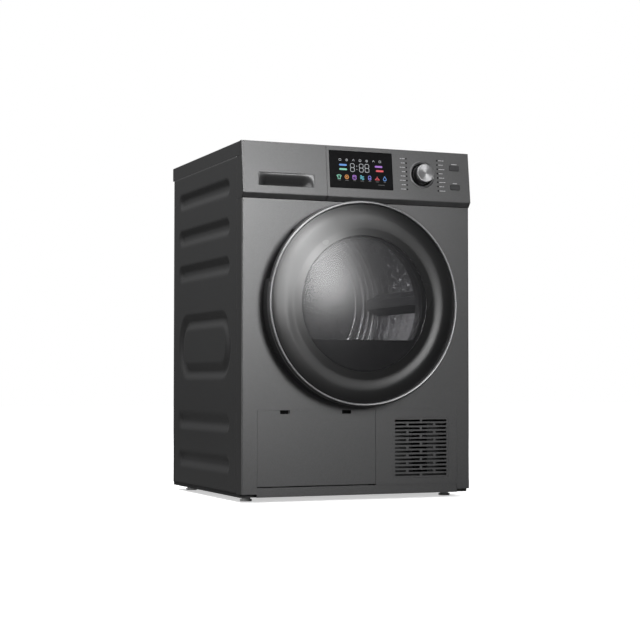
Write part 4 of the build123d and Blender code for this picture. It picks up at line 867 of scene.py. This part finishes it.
def knob_outline():
    """Turned knob: waisted skirt, rounded shoulder, a faint dish in the cap. (radius, y) in metres."""
    side = [(21.9, 1.4), (21.9, 0.0), (22.2, -4.0), (22.5, -12.0), (22.5, -19.0)]
    shoulder = arc_points((21.3, -20.8), (1.2, 1.2), range(0, 91, 15))
    cap = [(20.6, -22.0), (20.3, -21.75), (14.0, -21.7), (7.0, -21.65), (0.01, -21.62)]
    return [(r * MM, y * MM) for r, y in side + shoulder + cap]


def turned_metal(name, colour, rough):
    """Metal turned on a lathe: fine rings about the local Y axis and highlights drawn out along them."""
    material, nodes, links, shader = shader_nodes(name)
    shader.inputs["Metallic"].default_value = 1.0
    shader.inputs["Anisotropic"].default_value = 0.65
    around = nodes.new("ShaderNodeTangent")
    around.direction_type = "RADIAL"
    around.axis = "Y"
    links.new(around.outputs["Tangent"], shader.inputs["Tangent"])
    tone = pattern(nodes, links, "noise", 30.0)
    darker = tuple(channel * 0.9 for channel in colour)
    links.new(two_tone(nodes, links, tone, darker, colour), shader.inputs["Base Color"])
    rings = nodes.new("ShaderNodeTexWave")
    rings.wave_type, rings.rings_direction = "RINGS", "Y"
    rings.inputs["Scale"].default_value = 700.0
    rings.inputs["Distortion"].default_value = 1.5
    place = nodes.new("ShaderNodeTexCoord")
    links.new(place.outputs["Object"], rings.inputs["Vector"])
    uneven = spread(nodes, links, rings.outputs["Fac"], rough * 0.85, rough * 1.2, 0, 1)
    links.new(uneven, shader.inputs["Roughness"])
    relief(nodes, links, rings.outputs["Fac"], shader, 0.2, 0.01 * MM)
    return material


TURNED = turned_metal("turned_aluminium", (0.34, 0.34, 0.345), 0.34)
piece(
    "knob_turned_cap", lathe("knob_turned_cap", knob_outline(), 160, closed=False), "knob", [TURNED],
    ["program_knob"], 30.0, KNOB_PLACE,
)


def bezel_outline():
    """Satin ring that stands on the face round the knob's well. (radius, y) in metres."""
    crown = arc_points((31.5, -0.1), (2.5, 1.5), range(0, 181, 15))
    return [(r * MM, y * MM) for r, y in [(34.0, 0.1)] + crown + [(29.0, 0.1)]]


def well_outline():
    """Dark lining of the well, inside the satin ring: painted shade in the groove. (radius, y) in metres.
    """
    section = ((28.9, 0.3), (28.4, 1.55), (23.2, 1.7), (23.2, 1.9), (28.8, 1.85))
    return [(r * MM, y * MM) for r, y in section]


BEZEL = finish("bezel_satin", (0.13, 0.13, 0.132), 0.34, 0.9, 0.06, 60.0, depth=0.008)
piece(
    "knob_bezel_ring", lathe("knob_bezel_ring", bezel_outline(), 192), "cabinet", [BEZEL],
    ["knob_bezel"], 50.0, KNOB_PLACE,
)
# Near-black, low-gloss finish, its gloss turned down to stay black: painted shade in the knob's groove and
# behind the flap's notches.
RECESS_SHADE = finish("painted_recess_shade", (0.003, 0.003, 0.003), 0.7, texture=1400.0, depth=0.03, ior=1.12)
piece(
    "knob_well_lining", lathe("knob_well_lining", well_outline(), 128), "cabinet", [RECESS_SHADE],
    (), 50.0, KNOB_PLACE,
)

# --------------------------------------------------------------------------- lower front
def shadow_plate(name, body, x_range, y_place, z_range):
    """Black sheet close behind an opening: painted shade, where the opening's inside is in shadow."""
    columns = [x_range[0] + (x_range[1] - x_range[0]) * i / 8 for i in range(9)]
    rows = [z_range[0] + (z_range[1] - z_range[0]) * j / 8 for j in range(9)]
    mesh = grid(name, columns, rows, lambda x, z: (x, y_place, z))
    item = piece(name, mesh, body, [RECESS_SHADE], place=Matrix.Identity(4))
    sheet(item, 0.3 * MM)


FLAP_LOW, FLAP_HIGH, _ = span("service_flap")
NOTCH_MIDDLES = (("left", FLAP_LOW.x + 69.0 * MM), ("right", FLAP_HIGH.x - 80.0 * MM))
# Painted shade in the flap's two notches.
NOTCH_HALF, NOTCH_Y, NOTCH_HEIGHTS = 14 * MM, behind(3.2), (0.2045, 0.2152)
for side, middle in NOTCH_MIDDLES:
    shadow_plate(
        f"flap_notch_{side}", "flap", (middle - NOTCH_HALF, middle + NOTCH_HALF), NOTCH_Y, NOTCH_HEIGHTS
    )

# --------------------------------------------------------------------------------- drum
DRUM_PLACE = Matrix.Translation((DRUM_MID.x, 0.0, DRUM_MID.z))
DRUM_RADIUS = (DRUM_HIGH.x - DRUM_LOW.x) / 2
DRUM_FRONT, DRUM_BACK = DRUM_LOW.y + 12 * MM, DRUM_HIGH.y
DRUM_SHEET = 1.2 * MM
MOUTH, MOUTH_ROLL = 206 * MM, 8 * MM
BEAD_HALF = 10 * MM
BEADS = ((DRUM_BACK - 31 * MM, 3.5), (DRUM_BACK - 76 * MM, 3.5), (DRUM_FRONT + 30 * MM, 3.0))
DIMPLE_FRONT, DIMPLE_BACK = DRUM_FRONT + 60 * MM, DRUM_BACK - 92 * MM
DIMPLES_AROUND, DIMPLE_ROWS = 60, 6
DIMPLE_RISE, DIMPLE_REACH = 3.0 * MM, 10.5 * MM


def bead(y):
    """Inward rise of the pressed rings at a place along the drum."""
    total = 0.0
    for centre, height in BEADS:
        total = max(total, height * MM * smooth_step(1 - abs(y - centre) / BEAD_HALF))
    return total


def dimple(angle, y):
    """Inward rise of the staggered dimples."""
    if not DIMPLE_FRONT < y < DIMPLE_BACK:
        return 0.0
    row = (y - DIMPLE_FRONT) / (DIMPLE_BACK - DIMPLE_FRONT) * DIMPLE_ROWS
    index = int(row)
    across = angle / (2 * math.pi) * DIMPLES_AROUND + (0.5 if index % 2 else 0.0)
    dx = (across - round(across)) * 2 * math.pi * DRUM_RADIUS / DIMPLES_AROUND
    dy = (row - index - 0.5) * (DIMPLE_BACK - DIMPLE_FRONT) / DIMPLE_ROWS
    return DIMPLE_RISE * smooth_step(1 - math.hypot(dx, dy) / DIMPLE_REACH)


def drum_wall():
    """Inside of the drum, with its beads and dimples."""
    steps, rows = 600, 96
    inner = DRUM_RADIUS - DRUM_SHEET
    columns = [2 * math.pi * i / steps for i in range(steps)]
    heights = [DRUM_FRONT + (DRUM_BACK - DRUM_FRONT) * j / rows for j in range(rows + 1)]

    def point(angle, y):
        reach = inner - max(bead(y), dimple(angle, y))
        return (reach * math.cos(angle), y, reach * math.sin(angle))

    return grid("drum_wall", columns, heights, point, wrap=True)


def drum_front():
    """Rolled mouth and front wall, then the outside of the shell back to the rear edge."""
    inner, wall = DRUM_RADIUS - DRUM_SHEET, DRUM_SHEET
    neck = DRUM_LOW.y
    outline = [(inner, DRUM_FRONT), (MOUTH + MOUTH_ROLL, DRUM_FRONT)]
    outline += [
        (MOUTH + MOUTH_ROLL - MOUTH_ROLL * math.sin(a), DRUM_FRONT - MOUTH_ROLL * (1 - math.cos(a)))
        for a in (math.radians(15 * i) for i in range(1, 7))
    ]
    outline += [(MOUTH, neck), (MOUTH + wall, neck), (MOUTH + wall, DRUM_FRONT - wall)]
    outline += [(DRUM_RADIUS, DRUM_FRONT - wall), (DRUM_RADIUS, DRUM_BACK), (inner, DRUM_BACK)]
    return lathe("drum_outside", outline, 256, closed=False)


def join_meshes(name, meshes):
    """One mesh from several."""
    build = bmesh.new()
    for mesh in meshes:
        build.from_mesh(mesh)
    joined = bpy.data.meshes.new(name)
    build.to_mesh(joined)
    build.free()
    return joined


piece(
    "drum_pressed_shell", join_meshes("drum_pressed_shell", [drum_wall(), drum_front()]), "drum",
    [MATERIALS["drum_steel"]], ["drum_shell"], 40.0, DRUM_PLACE,
)

# Rings pressed into the drum's back: radius, half width and height, in millimetres.
PLATE_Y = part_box("drum_back")[0].y
BACK_RIDGES = ((204, 4.5, 3.5), (228, 6.5, 5.0), (243, 3.5, 3.0), (258, 4.0, 3.5))
for reach, half, height in BACK_RIDGES:
    bow = [math.pi * i / 12 for i in range(13)]
    outline = [
        ((reach + half * math.cos(a)) * MM, PLATE_Y + 0.2 * MM - (height * math.sin(a)) * MM) for a in bow
    ]
    piece(
        f"drum_back_ridge_{reach}", lathe(f"drum_back_ridge_{reach}", outline, 192), "drum",
        [MATERIALS["drum_steel"]], (), 50.0, DRUM_PLACE,
    )

# ------------------------------------------------------------------ stage, light, camera
def stage_floor():
    """Floor that is white to the camera, whiter further out, and dark to everything else."""
    mesh = grid("floor", (-14.0, 14.0), (-14.0, 14.0), lambda x, y: (x, y, 0.0))
    floor = bpy.data.objects.new("floor", mesh)
    bpy.context.scene.collection.objects.link(floor)
    material, nodes, links, shader = shader_nodes("floor_white")
    shader.inputs["Base Color"].default_value = (0.9, 0.9, 0.9, 1)
    shader.inputs["Roughness"].default_value = 0.9
    shader.inputs["Emission Color"].default_value = (1, 1, 1, 1)
    spot = nodes.new("ShaderNodeTexCoord")
    away = nodes.new("ShaderNodeVectorMath")
    away.operation = "LENGTH"
    links.new(spot.outputs["Object"], away.inputs[0])
    glow = spread(nodes, links, away.outputs["Value"], 0.55, 1.0, from_low=0.7, from_high=2.2)
    links.new(glow, shader.inputs["Emission Strength"])
    dark = nodes.new("ShaderNodeBsdfDiffuse")
    dark.inputs["Color"].default_value = (0.07, 0.07, 0.07, 1)
    path = nodes.new("ShaderNodeLightPath")
    both = nodes.new("ShaderNodeMixShader")
    links.new(path.outputs["Is Camera Ray"], both.inputs["Fac"])
    links.new(dark.outputs["BSDF"], both.inputs[1])
    links.new(shader.outputs["BSDF"], both.inputs[2])
    links.new(both.outputs["Shader"], nodes["Material Output"].inputs["Surface"])
    mesh.materials.append(material)


def world_light():
    """Surroundings that are white to the camera and a faint light to everything else."""
    world = bpy.data.worlds.new("studio")
    bpy.context.scene.world = world
    world.use_nodes = True
    nodes, links = world.node_tree.nodes, world.node_tree.links
    seen, felt = nodes.new("ShaderNodeBackground"), nodes["Background"]
    seen.inputs["Color"].default_value = (1, 1, 1, 1)
    felt.inputs["Color"].default_value = (0.98, 0.99, 1.0, 1)
    felt.inputs["Strength"].default_value = 0.12
    path = nodes.new("ShaderNodeLightPath")
    both = nodes.new("ShaderNodeMixShader")
    links.new(path.outputs["Is Camera Ray"], both.inputs["Fac"])
    links.new(felt.outputs["Background"], both.inputs[1])
    links.new(seen.outputs["Background"], both.inputs[2])
    links.new(both.outputs["Shader"], nodes["World Output"].inputs["Surface"])


def softbox(name, azimuth, elevation, distance, size, power, target=(0.0, -0.25, 0.5), roll=0.0):
    """Rectangular lamp, placed by the angle from straight ahead of the machine, facing a point."""
    a, e = math.radians(azimuth), math.radians(elevation)
    away = Vector((math.sin(a) * math.cos(e), -math.cos(a) * math.cos(e), math.sin(e)))
    data = bpy.data.lights.new(name, "AREA")
    data.shape = "RECTANGLE"
    data.size, data.size_y = size
    data.energy = power
    lamp = bpy.data.objects.new(name, data)
    bpy.context.scene.collection.objects.link(lamp)
    lamp.location = Vector(target) + away * distance
    turned = away.to_track_quat("Z", "Y") @ Matrix.Rotation(math.radians(roll), 3, "Z").to_quaternion()
    lamp.rotation_mode = "QUATERNION"
    lamp.rotation_quaternion = turned


def softboxes():
    """Lamps round the machine: azimuth, elevation, distance, size and power of each."""
    softbox("key_front", 7, 16, 3.0, (0.8, 1.5), 62, roll=20)
    softbox("overhead", 0, 82, 3.2, (2.4, 2.4), 60)
    softbox("left_high", -98, 60, 2.6, (1.2, 1.2), 100, target=(-0.3, 0.0, 0.75))
    softbox("left_strip", -63, 6, 3.0, (0.35, 1.8), 26)
    softbox("rear_fill", 150, 30, 4.0, (2.5, 2.0), 50)
    softbox("right_fill", 95, 25, 4.0, (2.5, 2.0), 24)


def drum_lamp():
    """Small lamp in the drum's mouth, which shows the wall and a lifter through the window."""
    data = bpy.data.lights.new("drum_lamp", "AREA")
    data.size = 0.16
    data.energy = 2.3
    lamp = bpy.data.objects.new("drum_lamp", data)
    bpy.context.scene.collection.objects.link(lamp)
    lamp.location = (DRUM_MID.x - 0.13, DRUM_FRONT + 0.03, DRUM_MID.z + 0.15)
    lamp.rotation_euler = Vector((-0.55, -1.0, 0.42)).to_track_quat("Z", "Y").to_euler()


# Camera fitted to the case's outline. The tilt is up from straight down, the heading about Z, in degrees.
LENS, SENSOR_WIDTH = 87.54, 36.0
CAMERA_SPOT = (-1.5194, -3.6706, 0.2816)
CAMERA_TILT, CAMERA_HEADING = 92.29, -22.52


def camera():
    """The photograph's viewpoint."""
    data = bpy.data.cameras.new("camera")
    data.lens, data.sensor_width = LENS, SENSOR_WIDTH
    data.clip_end = 100.0
    item = bpy.data.objects.new("camera", data)
    bpy.context.scene.collection.objects.link(item)
    item.location = CAMERA_SPOT
    item.rotation_euler = (math.radians(CAMERA_TILT), 0.0, math.radians(CAMERA_HEADING))
    bpy.context.scene.camera = item


stage_floor()
world_light()
softboxes()
drum_lamp()
camera()
bpy.context.scene.view_settings.view_transform = "Standard"
